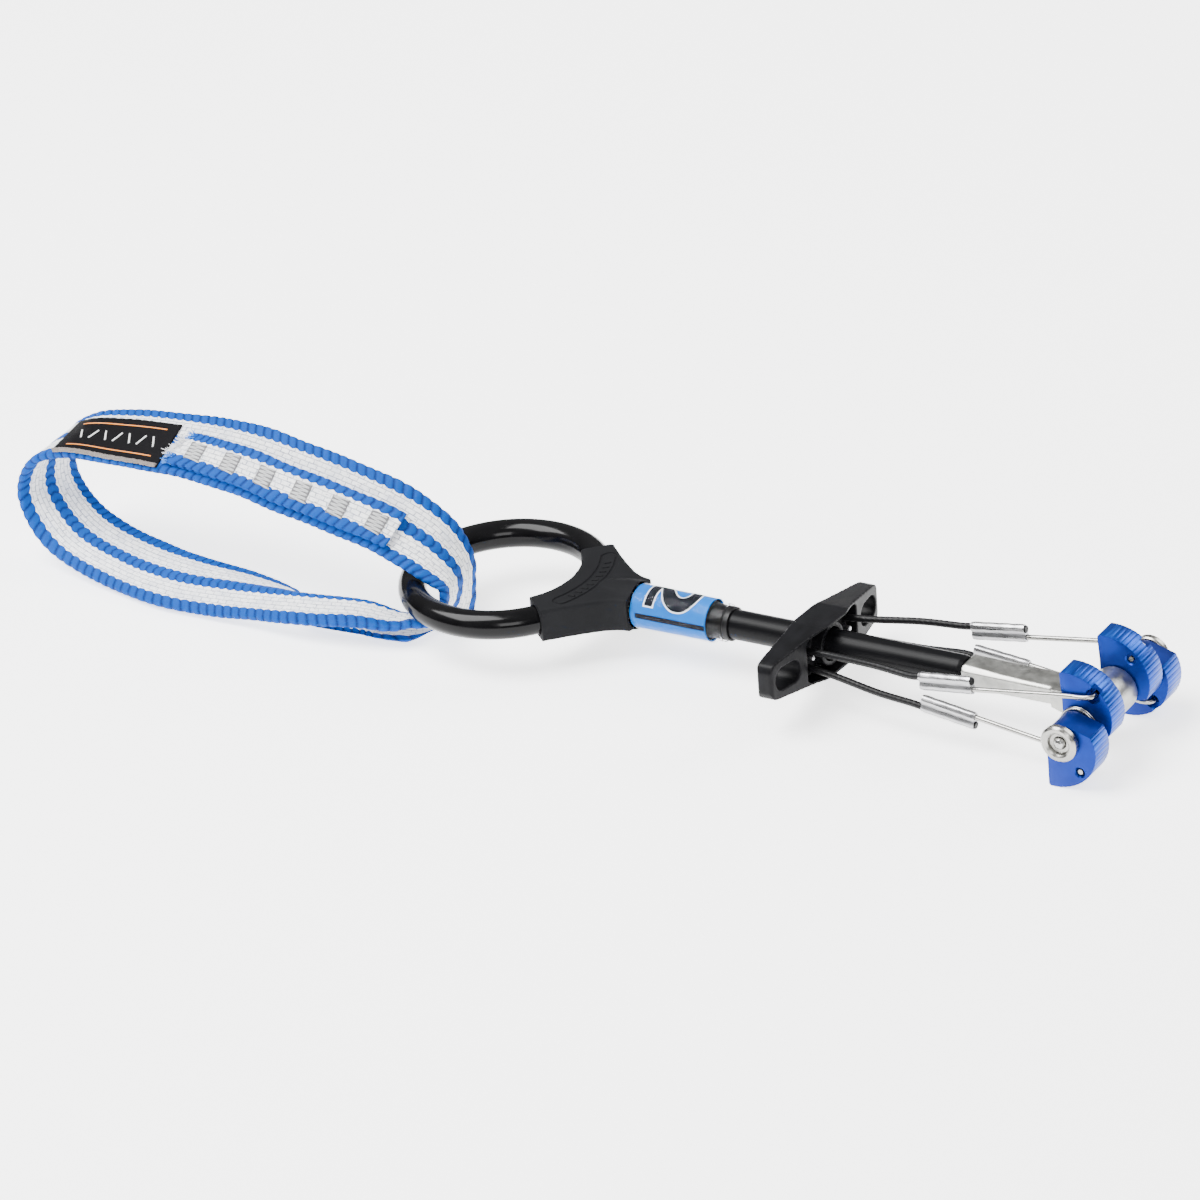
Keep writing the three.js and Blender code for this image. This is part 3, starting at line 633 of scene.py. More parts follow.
def tape_layer(name, s0, s1, u0, u1, h0, h1, step=0.34, closed=False, ragged=0.0, detail=1.0,
               skew=0.0, inset_by=0.0):
    """A strip of tape as a closed solid with corded edges and a woven face."""
    rows = int(round((s1 - s0) / step)) + (0 if closed else 1)
    lengths = s0 + (s1 - s0) * np.arange(rows) / (rows if closed else rows - 1)
    mid, half = (h0 + h1) / 2, (h1 - h0) / 2
    face = np.linspace(u0 + half, u1 - half, max(int((u1 - u0) / 0.45), 6))
    cap = np.radians([60, 30, 0, -30, -60])
    section = [(u, 1.0, 0) for u in face]
    section += [(u1 - half, sin(a), cos(a)) for a in cap]
    section += [(u, -1.0, 0) for u in face[::-1]]
    section += [(u0 + half, -sin(a), -cos(a)) for a in cap]
    across, lift, push = np.array(section).T
    s, u = np.meshgrid(lengths, across, indexing="ij")
    off = np.abs(u - inset_by)
    corded = np.clip((off - (HALF_WIDTH - BLUE_EDGE)) / 0.6, 0, 1)
    central = np.clip((BLUE_CENTRE / 2 + 0.3 - off) / 0.6, 0, 1)
    drift = 0.35 * np.sin(s / 5.1) + 0.22 * np.sin(s / 1.7 + 2)
    bump = rope_bump(s + drift + 0.5 * np.sign(lift), SLANT * off)
    row = (u - inset_by) / ROW + ROWS_BELOW
    pick = s / PICK + 0.5 * (np.floor(row) % 2 == 0)
    block = np.abs(np.sin(np.pi * row) * np.sin(np.pi * pick)) ** 0.45
    extra = corded * (0.20 * bump - 0.07) + central * (0.16 * bump - 0.06)
    extra = extra + (1 - corded) * (1 - central) * (0.20 * block - 0.14)
    h = mid + lift * (half + extra * detail)
    wander = 0.18 * np.sin(s / 7.3) + 0.10 * np.sin(s / 2.9 + 1)
    edge = half + 0.30 * (rope_bump(s + drift, SLANT * HALF_WIDTH) - 0.4)
    u = u + push * edge + wander * np.abs(push)
    if ragged:
        shift = np.random.default_rng(LAP_SEED).normal(0, ragged, s.shape[1])
        s = s - np.abs(shift)[None, :] * np.clip(1 - (s - s0) / 2.5, 0, 1)
    if skew:
        s = s + skew * (u - u0) / (u1 - u0) * np.clip(1 - (s - s0) / 12, 0, 1)
    points = on_tape(s, u, h).reshape(-1, 3)
    count = len(section)
    faces, corners = grid(rows, count, closed, True)
    flat_u = u.reshape(-1) - inset_by
    uvs = [(lengths[i] if i < rows else s1, flat_u[(i % rows) * count + j % count]) for i, j in corners]
    if not closed:
        ends = [list(range(count)), [(rows - 1) * count + j for j in range(count)][::-1]]
        for end in ends:
            for j in range(1, count // 2):
                quad = [end[j], end[j - 1], end[-j % count], end[(-j - 1) % count]]
                if len(set(quad)) == 4:
                    faces.append(quad)
                    uvs += [(lengths[0], flat_u[q]) for q in quad]
    return outward(raw_mesh(name, points, faces, uvs))


def sewn(thing, material, node=""):
    return finish(thing, material, node, 0, "sling")


def build_sling():
    weave = tape_weave()
    tape = tape_layer("sling_tape", 0, LOOP_LENGTH, -HALF_WIDTH, HALF_WIDTH, -TAPE_HALF, TAPE_HALF,
                      closed=True)
    sewn(tape, weave, "sling_webbing")
    pieces = [lap("sling_lap_under", 1.02, 1.78, 1.6, weave),
              lap("sling_lap_top", 1.86, 2.72, 0.0, weave, "sling_lap")]
    pieces += frayed_end()
    pieces += bar_tacks()
    pieces += tag()


def lap(name, low, high, shorter, weave, node=""):
    """One ply of the narrow strip, between two heights over the tape's middle."""
    ply = tape_layer(name, LAP_FROM + shorter, LAP_TO - shorter / 2, LAP_EDGE, LAP_EDGE + LAP_WIDTH,
                     low, high, ragged=0.5, skew=LAP_SKEW, inset_by=LAP_INSET)
    return sewn(ply, weave, node)


def merged(name, things):
    """Joins several small solids into one object."""
    points, faces, uvs, start = [], [], [], 0
    for thing in things:
        mesh = thing.data
        points += [tuple(v.co) for v in mesh.vertices]
        faces += [[start + v for v in polygon.vertices] for polygon in mesh.polygons]
        flat = np.zeros(len(mesh.loops) * 2, np.float32)
        if mesh.uv_layers:
            mesh.uv_layers[0].data.foreach_get("uv", flat)
        uvs += flat.reshape(-1, 2).tolist()
        start += len(mesh.vertices)
        bpy.data.objects.remove(thing)
    return raw_mesh(name, points, faces, uvs)


def frayed_end():
    """Cut yarns that stand out past the end of the lap."""
    rng = random.Random(5)
    white, blue = [], []
    for _ in range(240):
        part = rng.random()
        u = LAP_EDGE + 0.3 + (LAP_WIDTH - 0.6) * part
        s = LAP_FROM + LAP_SKEW * part
        off = abs(u - LAP_INSET)
        dyed = off > HALF_WIDTH - BLUE_EDGE or off < BLUE_CENTRE / 2
        length = rng.uniform(1.0, 3.6) * (0.6 if dyed else 1.0)
        drift, rise = rng.uniform(-1.3, 1.3), rng.uniform(-0.1, 1.5)
        low = rng.uniform(1.3, 2.6)
        t = np.linspace(0, 1, 7)
        path = on_tape(s + 1.2 - t * (length + 1.2), u + drift * t ** 2, low + rise * t ** 1.5 - 0.3 * t)
        yarn = swept("yarn", path, lambda _, along: circle(0.14 * (1 - 0.5 * along), 5))
        (blue if dyed else white).append(yarn)
    pale = thread("white_yarn", "web_blue_white", (0.66, 0.67, 0.70), (0.86, 0.87, 0.88))
    deep = thread("blue_yarn", "web_blue_white", (0.004, 0.10, 0.50), (0.012, 0.28, 0.84))
    return [sewn(merged("lap_fray_white", white), pale), sewn(merged("lap_fray_blue", blue), deep)]


def bar_tacks():
    """Six dense bars of thread sewn on the lap, each over a dark sheet that paints the shade between its
    threads.
    """
    look = thread("tack_thread", "stitch_grey", (0.30, 0.305, 0.31), (0.62, 0.63, 0.64))
    # Painted shade: the dark grey look of the sheet that lies under the threads.
    tack_shade_look = thread("tack_painted_shade", "stitch_grey", (0.07, 0.07, 0.075), (0.18, 0.18, 0.19))
    t = np.linspace(-1, 1, 13)
    lift = 2.86 + 0.16 * (1 - t ** 2) - 0.65 * np.abs(t) ** 6
    out = []
    for i in range(6):
        rng = random.Random(20 + i)
        middle = LAP_FROM + (LAP_TO - LAP_FROM) * (0.10 + 0.82 * i / 5)
        threads = []
        for k in range(10):
            u = LAP_EDGE + 2.4 + 4.2 * k / 9
            half = 2.4 + rng.uniform(-0.35, 0.35)
            slant = 0.25 if k % 2 else -0.25
            threads.append(swept("stitch", on_tape(middle + half * t, u + slant * t, lift), circle(0.2, 8)))
        # Painted shade: a thin dark grey sheet under each bar, seen between the threads where shade falls.
        shade_sheet = tape_layer(f"tack_shade_sheet_{i + 1}", middle - 2.2, middle + 2.2, LAP_EDGE + 2.2,
                         LAP_EDGE + 6.8, 2.6, 2.94, detail=0.0)
        sewn(shade_sheet, tack_shade_look)
        out += [sewn(merged(f"tack_threads_{i + 1}", threads), look, f"bar_tack_{i + 1}"), shade_sheet]
    return out


def tag():
    """A blank woven label with two lines and a zigzag, its near edge folded."""
    s0, s1 = at_station(11.75), at_station(13.8)
    u0, u1 = -HALF_WIDTH + 0.4, HALF_WIDTH - 4.4
    cloth = tape_layer("tag_cloth", s0, s1, u0, u1, 1.05, 1.55, step=0.5, detail=0.0)
    sewn(cloth, woven_label(), "sling_tag")
    rng = random.Random(8)
    s = np.linspace(s0 + 0.3, s1 - 0.2, 90)
    edge = np.array([u0 + 0.25 + rng.uniform(-0.12, 0.12) for _ in s])
    fold = swept("tag_fold", on_tape(s, edge, np.full_like(s, 1.5)), circle(0.55, 10))
    grey = thread("tag_selvedge", "tag_black", (0.06, 0.05, 0.045), (0.24, 0.20, 0.18))
    orange = thread("orange_yarn", "tag_black", (0.62, 0.16, 0.01), (0.90, 0.32, 0.03))
    pale = thread("tag_white_yarn", "tag_black", (0.55, 0.55, 0.56), (0.86, 0.86, 0.86))
    middle_u = (u0 + u1) / 2 + 0.2
    lines, dashes = [], []
    s = np.linspace(s0 + 3.0, s1 - 3.0, 60)
    for shift in (-4.3, 4.3):
        path = on_tape(s, np.full_like(s, middle_u + shift), np.full_like(s, 1.52))
        lines.append(swept("line", path, circle(0.22, 8) * np.array([0.7, 1.0])))
    for k in range(7):
        start = s0 + 4.2 + (s1 - s0 - 9.6) * k / 6
        s = np.linspace(start, start + 1.4, 8)
        lean = np.linspace(-1.5, 1.5, 8) * (1 if k % 2 else -1)
        dashes.append(swept("dash", on_tape(s, middle_u + lean, np.full_like(s, 1.54)), circle(0.24, 8)))
    return [cloth, sewn(fold, grey), sewn(merged("tag_lines", lines), orange),
            sewn(merged("tag_zigzag", dashes), pale)]


# ---- thumb loop and boot
LOOP_R = 22.4
TUBE_R = 3.45
BOOT_INNER = 17.95
BOOT_HALF_Z = 4.35
BOOT_END = 36.5
LEG_ANGLE = 41
PANEL_R = 24.8      # middle of the grooved panel on the boot
PANEL_HALF = 1.75
PANEL_TURN = 27


def loop_arc(start, end, steps):
    return [(x, y, 0) for x, y in arc(0, 0, LOOP_R, start, end, steps)]


def build_loop():
    sheath = swept("loop_sheath_tube", loop_arc(38, 322, 200), circle(TUBE_R, 48))
    finish(outward(sheath), coated_black(), "thumb_loop_sheath")
    hidden = {"thumb_loop_cable": STEEL_CABLE, "stem_cable": STEEL_CABLE, "junction_ferrule": BRIGHT}
    for node, material in hidden.items():
        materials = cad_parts[node].data.materials
        materials.clear()
        materials.append(material)


def build_boot():
    end = BOOT_END + 2
    inner = arc(0, 0, BOOT_INNER + 0.2, 0, LEG_ANGLE + 8, 14)
    outer = [(18.6, 19.3), (20.3, 17.0), (24.0, 13.6), (27.6, 10.6), (31.0, 8.0), (34.0, 6.4), (end, 5.6)]
    body = plate("boot_skin", mirrored(inner + outer), -BOOT_HALF_Z, BOOT_HALF_Z)
    legs = swept("legs", loop_arc(-LEG_ANGLE - 8, LEG_ANGLE + 8, 60), circle(4.4, 32))
    neck = [(19.5, 0), (20.5, 2.6), (24, 4.2), (28.5, 5.1), (33, 5.75), (end, 5.95), (end, 0)]
    body = merged("boot_skin", [body, legs, turned("neck", neck, sides=64, radius=1.5)])
    melt(body, 0.42, 24)
    for sign in (1, -1):
        past_leg = arc(0, 0, 60, LEG_ANGLE * sign, (LEG_ANGLE + 60) * sign, 8)
        boolean(body, plate("wedge", [(0, 0)] + past_leg, -9, 9))
    boolean(body, plate("past", [(BOOT_END, -12), (60, -12), (60, 12), (BOOT_END, 12)], -12, 12))
    bevel(body, 0.45, 3)
    for sign in (1, -1):
        bore = swept("bore", loop_arc(sign * 34, sign * 60, 24), circle(TUBE_R + 0.12, 40))
        boolean(body, outward(bore))
    boolean(body, rod(33.6, 40, 5.62, sides=80))
    ribs = boot_ribs(body)
    boolean(body, boot_groove(body))
    rubber = moulded_rubber()
    finish(body, rubber, "rubber_boot", smooth=42)
    finish(ribs, rubber)


def on_skin(body, flat):
    """Drops points (x, y) onto the upper side of a piece."""
    tree = BVHTree.FromObject(body, bpy.context.evaluated_depsgraph_get())
    hits = [tree.ray_cast(Vector((x, y, 20)), Vector((0, 0, -1)))[0] for x, y in flat]
    return np.array([tuple(hit) for hit in hits])


def boot_groove(body):
    """The groove round the long arc on the boot's upper face."""
    path = arc(0, 0, PANEL_R + PANEL_HALF, -PANEL_TURN, PANEL_TURN, 40) + round_end(PANEL_TURN, PANEL_TURN)
    path += arc(0, 0, PANEL_R - PANEL_HALF, PANEL_TURN, -PANEL_TURN, 40)
    path += round_end(-PANEL_TURN, 180 - PANEL_TURN)
    line = on_skin(body, path) + np.array([0, 0, 0.06])
    return outward(swept("groove", line, circle(0.42, 12), closed=True))


def round_end(turn, start):
    cx, cy = PANEL_R * cos(radians(turn)), PANEL_R * sin(radians(turn))
    return arc(cx, cy, PANEL_HALF, start, start + 180, 10)[1:-1]


def boot_ribs(body):
    """Short plain ribs inside the groove, in place of moulded lettering."""
    ribs = []
    lean = radians(18)
    for k in range(9):
        turn = radians(-20 + 40 * k / 8)
        cx, cy = PANEL_R * cos(turn), PANEL_R * sin(turn)
        dx, dy = cos(turn + lean), sin(turn + lean)
        line = on_skin(body, [(cx + dx * t, cy + dy * t) for t in np.linspace(-0.8, 0.8, 9)])
        ribs.append(outward(swept("rib", line, circle(0.32, 10))))
    return merged("boot_ribs", ribs)


# ---- label, collar and stem
LABEL_R = 5.12
NUMERAL_X = 40.4


def on_label(x, turn_mm, lift):
    """x along the stem, distance round from the top toward -Y, height over the label."""
    r = LABEL_R + lift
    turn = turn_mm / LABEL_R
    return np.stack([x, -r * np.sin(turn), r * np.cos(turn)], -1)


def ink_layer(name, x, turn_mm, low, high):
    """A thin closed solid over a grid of points on the label, between two heights."""
    top = on_label(x, turn_mm, high)
    ring = np.concatenate([top, on_label(x, turn_mm, low)[:, ::-1]], 1)
    rows, count = ring.shape[:2]
    faces, _ = grid(rows, count, False, True)
    for base in (0, (rows - 1) * count):
        for j in range(count // 2 - 1):
            faces.append([base + j, base + j + 1, base + count - 2 - j, base + count - 1 - j])
    return outward(raw_mesh(name, ring.reshape(-1, 3), faces))


def printed_stroke(path, widths, lift, extra):
    """A stroke of ink along (round, height) points, made wider and longer all round by extra."""
    path = curve_through([(a, b, 0) for a, b in path], False, 90)[:, :2]
    widths = np.interp(np.linspace(0, 1, len(path)), np.linspace(0, 1, len(widths)), widths) / 2 + extra
    ahead = unit(np.gradient(path, axis=0))
    path[0] -= ahead[0] * extra
    path[-1] += ahead[-1] * extra
    side = np.stack([-ahead[:, 1], ahead[:, 0]], 1)
    across = np.linspace(-1, 1, 11)
    spot = path[:, None, :] + side[:, None, :] * (across[None, :, None] * widths[:, None, None])
    return ink_layer("stroke", NUMERAL_X + spot[..., 1], spot[..., 0], lift, lift + 0.04)


def build_label():
    film = turned("label_film_tube", [(36.8, 4.87), (36.8, LABEL_R), (57.1, LABEL_R), (57.1, 4.87)],
                  sides=160)
    finish(film, label_film(), "size_label")
    foot = [(4.9, 1.1), (2.0, 1.1), (-1.5, 1.1), (-4.3, 1.15)]
    foot_widths = [2.1, 2.1, 2.2, 2.4]
    bow = [(-4.0, 1.0), (-2.6, 2.8), (-0.4, 4.4), (1.9, 6.0), (3.15, 7.9), (2.95, 9.9), (1.2, 11.5),
           (-1.2, 11.8), (-3.4, 10.9), (-4.7, 9.2)]
    bow_widths = [1.6, 2.2, 2.8, 3.4, 3.8, 3.6, 2.8, 2.4, 2.3, 2.2]
    white = print_ink("white_ink", (0.86, 0.88, 0.90))
    black = print_ink("black_ink", (0.012, 0.013, 0.018))
    for shade, ink, lift, extra in (("white", white, 0.012, 0.38), ("black", black, 0.036, 0.0)):
        strokes = [printed_stroke(foot, foot_widths, lift, extra),
                   printed_stroke(bow, bow_widths, lift + 0.004, extra)]
        finish(merged(f"numeral_{shade}", strokes), ink)
    x, across = np.meshgrid(np.linspace(38.2, 57.0, 60), np.linspace(-0.65, 0.65, 7), indexing="ij")
    finish(ink_layer("label_stripe", x, 7.75 + across, 0.012, 0.08), black)


def build_stem():
    shrink = turned("shrink_tube", [
        (34.9, 5.24), (34.9, 5.42), (57.6, 5.42, 1.2), (59.1, 4.62, 1.0), (60.7, 4.55), (60.7, 4.30),
        (58.8, 4.36, 1.0), (57.4, 5.24, 1.0)], sides=160, radius=0.06)
    finish(shrink, clear_film(), "clear_shrink_tube")
    collar = turned("collar_sleeve", [
        (46.6, 3.72), (46.6, 4.75), (56.5, 4.75), (57.4, 4.15), (60.75, 4.13), (60.85, 3.98), (61.05, 3.98),
        (61.15, 4.15), (62.4, 4.12), (62.5, 3.9), (62.5, 3.72)], sides=112, radius=0.12)
    finish(collar, collar_plastic(), "stem_collar")
    sheath = [(46.6, 2.4), (46.6, 3.6), (123.6, 3.6), (124.7, 3.3), (124.7, 2.4)]
    finish(turned("stem_tube", sheath, radius=0.12), stem_plastic(), "stem_sheath")


# ---- terminal, axle and washers
def build_terminal():
    half_y, half_z, neck_z, eye = 3.95, 3.15, 2.4, 5.5
    side = mirrored([
        (125.0, half_z - 0.25), (125.5, half_z), (129.5, half_z - 0.15), (136, neck_z + 0.25),
        (149.5, neck_z), (153, 3.0), *arc(AXLE_X, 0, eye, 138, 0, 30)])
    top = mirrored([(125.0, half_y - 0.25), (125.6, half_y), (141, half_y + 0.1), (148, 4.7), (152.5, 5.7),
                    (168, 5.7)])
    body = plate("terminal", side, -8, 8, "Y")
    boolean(body, plate("view", top, -9, 9), "INTERSECT")
    edge = 1.35
    wide = half_y + 0.1
    section = [
        (-wide, -half_z + edge), (-half_y + edge, -half_z), (half_y - edge, -half_z),
        (wide, -half_z + edge), (wide, half_z - edge), (half_y - edge, half_z),
        (-half_y + edge, half_z), (-wide, half_z - edge)]
    keep = plate("keep", section, 124, 149.5, "X")
    boolean(keep, plate("keep_eye", [(-8, -8), (8, -8), (8, 8), (-8, 8)], 149, 170, "X"), "UNION")
    boolean(body, keep, "INTERSECT")
    melt(body, 0.26, 10)
    boolean(body, rod(-9, 9, AXLE_BORE, "Y", AT_AXLE))
    boolean(body, rod(124, 138.8, 2.0, sides=48))
    finish(body, forged_steel(), "stem_terminal", smooth=50)


def build_axle():
    peen = [(23.45, 0), (23.4, 0.6), (23.1, 1.15), (22.6, 1.5), (21.25, 1.4), (21.25, AXLE_R)]
    axle = turned("axle_rod", [(-a, r) for a, r in peen] + peen[::-1], "Y", AT_AXLE, 64, 0.1)
    finish(axle, steel("axle_steel", "axle_steel", (0.42, 0.42, 0.41), 0.24, (900, 300, 900)), "axle")
    turned_steel = steel("washer_steel", "washer_steel", (0.36, 0.355, 0.335), 0.27, (900, 200, 900), 0.015)
    cup = [(21.35, 1.55), (21.35, 4.3), (21.8, 4.6), (22.95, 4.6), (23.5, 4.05), (23.5, 3.25),
           (23.1, 2.75), (22.2, 2.5), (22.2, 1.55)]
    for side, sign in SIDES:
        washer = turned(f"washer_{side}", [(sign * a, r) for a, r in cup], "Y", AT_AXLE, 112, 0.22)
        finish(washer, turned_steel, f"end_washer_{side}")


# ---- cam lobes
HUB_R = 4.2
CAM_R = 7.6         # the spiral's radius at CAM_FROM
GROWTH = 0.2577     # its growth per radian
CAM_FROM = 17.0
CAM_TO = -109.6
PIN_X = 3.9         # the wire hole from the axle
PIN_Z = 7.7
TIP_X = -4.5
TIP_R = 0.7
GROOVE = 1.25       # pitch of the cam face's fine grooves
GROOVE_DEPTH = 0.07


def cam_outline():
    """The lobe with its tip down: hub, straight back, rounded tip, and the grooved spiral."""
    cam = []
    distance, last = 0.0, None
    count = 420
    for i in range(count + 1):
        degrees = CAM_TO + (CAM_FROM - CAM_TO) * i / count
        r = CAM_R * exp(GROWTH * radians(CAM_FROM - degrees))
        c, s = cos(radians(degrees)), sin(radians(degrees))
        if last is not None:
            distance += dist(last, (r * c, r * s))
        last = (r * c, r * s)
        fade = min(1, distance / 1.5, (count - i) / 25)
        r -= GROOVE_DEPTH * fade * (0.5 + 0.5 * cos(2 * pi * distance / GROOVE)) ** 3
        if r * c > TIP_X + TIP_R + 0.2:
            cam.append((r * c, max(r * s, FLOOR)))
    hub = arc(0, 0, HUB_R, 66, 178, 40)
    tip = arc(TIP_X + TIP_R, FLOOR + TIP_R, TIP_R, 180, 270, 8)
    return hub + [(-4.35, -3), (-4.3, -6)] + tip + cam


def build_lobe(kind, side, sign, z_sign, low, high, wire_at_low):
    outline = [(x, z * z_sign) for x, z in cam_outline()]
    body = plate(f"lobe_{kind}_{side}", outline, low, high, "Y")
    bevel(body, 0.13, 2)
    pin = (PIN_X, 0, -PIN_Z * z_sign)
    boolean(body, rod(low - 1, high + 1, AXLE_BORE, "Y"))
    eye = [(low - 1, 0), (low - 1, 2.2), (low - 0.01, 1.45), (low + 0.3, 1.15), (high - 0.3, 1.15),
           (high + 0.01, 1.45), (high + 1, 2.2), (high + 1, 0)]
    boolean(body, turned("eye", eye, "Y", pin, 48))
    deep = 1.6
    a, b = (low - 1, low + deep) if wire_at_low else (high - deep, high + 1)
    boolean(body, rod(a, b, 1.9, "Y", pin, 48))
    turn = atan2(-PIN_Z, PIN_X) * z_sign
    reach = hypot(PIN_X, PIN_Z)
    c, s = cos(turn), sin(turn)
    slot = [(reach * c + p * c - q * s, reach * s + p * s + q * c)
            for p, q in ((0, -1.2), (9, -1.5), (9, 1.5), (0, 1.2))]
    boolean(body, plate("slot", slot, a, b, "Y"))
    body.data.transform(Matrix.Translation(AT_AXLE) @ Matrix.Diagonal((1, sign, 1, 1)))
    finish(outward(body), LOBE_FACE, f"cam_lobe_{kind}_{side}", 28, f"lobe_{kind}_{side}")
    body.data.materials.append(LOBE_CAM)
    for polygon in body.data.polygons:
        x = (polygon.center.x - ORIGIN.x) / MM - AXLE_X
        z = (polygon.center.z - ORIGIN.z) / MM
        if abs(polygon.normal.y) < 0.3 and hypot(x, z) > 7.0 and x > -4.2:
            polygon.material_index = 1


def build_lobes():
    for side, sign in SIDES:
        build_lobe("outer", side, sign, 1, 14.3, 21.1, True)
        build_lobe("inner", side, sign, -1, 6.0, 12.4, False)


def build_springs():
    look = steel("spring_wire", "spring_steel", (0.42, 0.42, 0.41), 0.2, (1500, 1500, 1500))
    turns, pitch = 1.9, 0.62
    t = np.linspace(0, 1, 220)
    end = np.maximum(0, 0.06 - np.minimum(t, 1 - t)) / 0.06
    r = 4.35 + 0.7 * end ** 2
    angle = 2 * np.pi * turns * t
    for side, sign in SIDES:
        along = sign * (WIRE_Y - pitch * turns / 2) + sign * pitch * turns * t
        path = np.stack([AXLE_X + r * np.cos(angle), along, r * np.sin(angle)], 1)
        spring = swept(f"spring_{side}", path, circle(0.28, 16))
        finish(outward(spring), look, f"torsion_spring_{side}")


# ---- trigger wires
FERRULE_BACK = np.array([119.5, 12.6, 2.95])
FERRULE_FRONT = np.array([133.5, 13.05, 4.75])
BARREL = 1.05       # from a ferrule's middle to the middle of each barrel
CABLE_R = 0.85
WIRE_R = 0.62
WIRE_Y = 13.35      # the gap between two lobes, where wires and springs lie
CRIMP_Y = 8.6       # where the coated cables end in the trigger


def barrel_line(offset, before, after):
    ahead = unit(FERRULE_FRONT - FERRULE_BACK)
    lift = -np.cross([0, 1, 0], ahead) * offset
    return FERRULE_BACK + lift - ahead * before, FERRULE_FRONT + lift + ahead * after


def ferrule_section(along, _):
    """Two barrels side by side, dented by the crimping tool."""
    squeeze = sum(exp(-((along - dent) / 0.95) ** 2) for dent in (3.2, 7.1, 11.0))
    mouth = 0.12 * exp(-(along / 0.5) ** 2) + 0.12 * exp(-((14.1 - along) / 0.5) ** 2)
    w = 1.25 * (1 - 0.05 * squeeze) - mouth
    waist = 0.40 + 0.04 * squeeze
    turn = full_turn(56)
    up = np.sin(turn) * w + np.sign(np.sin(turn)) * BARREL * np.abs(np.sin(turn)) ** 0.35
    pleat = 0.04 * np.cos(7 * turn + 0.10 * along)
    side = np.cos(turn) * (w + pleat) * (1 - waist * np.exp(-(up / 0.6) ** 2))
    return np.stack([up, side], 1)


def build_ferrule(name):
    a, b = barrel_line(0, 0, 0)
    body = outward(swept(name, a + (b - a) * np.linspace(0, 1, 90)[:, None], ferrule_section))
    for offset, radius in ((BARREL, CABLE_R + 0.1), (-BARREL, WIRE_R + 0.1)):
        a, b = barrel_line(offset, 1, 1)
        bore = swept("bore", a + (b - a) * np.linspace(0, 1, 4)[:, None], circle(radius, 32))
        boolean(body, outward(bore))
    return body


def cable_path():
    enter, leave = barrel_line(BARREL, 0, 0.35)
    return curve_through([(86.7, CRIMP_Y, 2.2), (94, 9.25, 2.65), (107, 11.2, 3.6),
                          enter - unit(leave - enter) * 2.5, enter, (enter + leave) / 2, leave], False, 420)


def strands(along, _):
    """Seven lays of wire showing through a thin coat."""
    turn = full_turn(28)
    r = CABLE_R - 0.05 + 0.05 * np.abs(np.cos(3.5 * (turn - 2 * np.pi * along / 9.5)))
    return np.stack([r * np.cos(turn), r * np.sin(turn)], 1)


def wire_path(hook_from, hook_to):
    enter, leave = barrel_line(-BARREL, -0.6, 0)
    x, z = AXLE_X + PIN_X, PIN_Z
    bend = copysign(0.55, WIRE_Y - hook_from)
    return curve_through([
        enter, (enter + leave) / 2, leave, (148, 13.25, 5.75), (158.5, WIRE_Y, 7.2),
        (x - 1.7, WIRE_Y, 7.6), (x - 0.35, hook_from + bend, z), (x, hook_from, z),
        (x, (hook_from + hook_to) / 2, z), (x, hook_to, z)], False, 260)


def build_wires():
    coat = cable_coat()
    stainless = steel("wire_stainless", "wire_steel", (0.38, 0.375, 0.36), 0.22, (200, 2600, 2600))
    for side, sign in SIDES:
        for kind, z_sign, hook_from, hook_to in (("outer", -1, 14.5, 20.7), ("inner", 1, 12.2, 6.4)):
            name = f"{kind}_{side}"
            cable = swept(f"coated_{name}", cable_path(), strands)
            wire = swept(f"stainless_{name}", wire_path(hook_from, hook_to), circle(WIRE_R, 20))
            for piece, look, node in ((cable, coat, "trigger_cable"), (wire, stainless, "lobe_wire"),
                                      (build_ferrule(f"ferrule_{name}"), BRIGHT, "wire_ferrule")):
                piece.data.transform(Matrix.Diagonal((1, sign, z_sign, 1)))
                finish(outward(piece), look, f"{node}_{name}", 50, f"wire_{name}")


# ---- trigger
TRIGGER_X = 86.2
TRIGGER_HALF = 25.2
TRIGGER_ROLL = -4   # degrees that the bar has turned about the stem
SLOT_Y = 18.8


def build_trigger():
    half = TRIGGER_HALF
    top = mirrored([(-5.0, 0.001), (-5.0, 3.5), (-4.4, 9), (-3.5, half - 0.6), (-3.0, half), (0.2, half),
                    (0.6, half - 0.6), (2.9, 9), (4.2, 4.5), (4.2, 0.001)])
    front = mirrored([(-half, 2.6), (-half + 0.9, 4.3), (-half + 2.4, 4.75), (-6, 6.7), (6, 6.7),
                      (half - 2.4, 4.75), (half - 0.9, 4.3), (half, 2.6)])
    body = plate("trigger_shell", top, -8, 8)
    boolean(body, plate("front", rounded(front, 2.0), -8, 8, "X"), "INTERSECT")
    for y in (SLOT_Y, -SLOT_Y):
        slot = arc(y + 1.85, 0, 2.85, -90, 90, 16) + arc(y - 1.85, 0, 2.85, 90, 270, 16)
        boolean(body, plate("slot", slot, -8, 8, "X"))
    pocket = mirrored([(-11.6, 4.8), (-10.8, 5.45), (-6, 6), (6, 6), (10.8, 5.45), (11.6, 4.8)])
    hollow = plate("hollow", rounded(pocket, 1.5), -0.6, 8, "X")
    boolean(hollow, rod(-2, 2.6, 5.3))
    boolean(body, hollow)
    boolean(body, rod(-8, 8, 4.1, sides=72))
    melt(body, 0.23, 5)
    place = Matrix.Translation((TRIGGER_X, 0, 0)) @ Matrix.Rotation(radians(TRIGGER_ROLL), 4, "X")
    body.data.transform(place)
    finish(body, nylon(), "trigger_bar", 60, "trigger")
    barrel = [(-0.3, 0), (-0.3, 0.6), (0.6, 0.7), (1.1, 0.6), (1.6, 0.7), (2.4, 0.6), (2.5, 0)]
    for side, sign in SIDES:
        crimp = turned(f"crimp_{side}", barrel, at=(0, sign * CRIMP_Y, 0), sides=40, radius=0.2)
        crimp.data.transform(place)
        finish(crimp, BRIGHT, f"trigger_crimp_{side}", body="trigger")


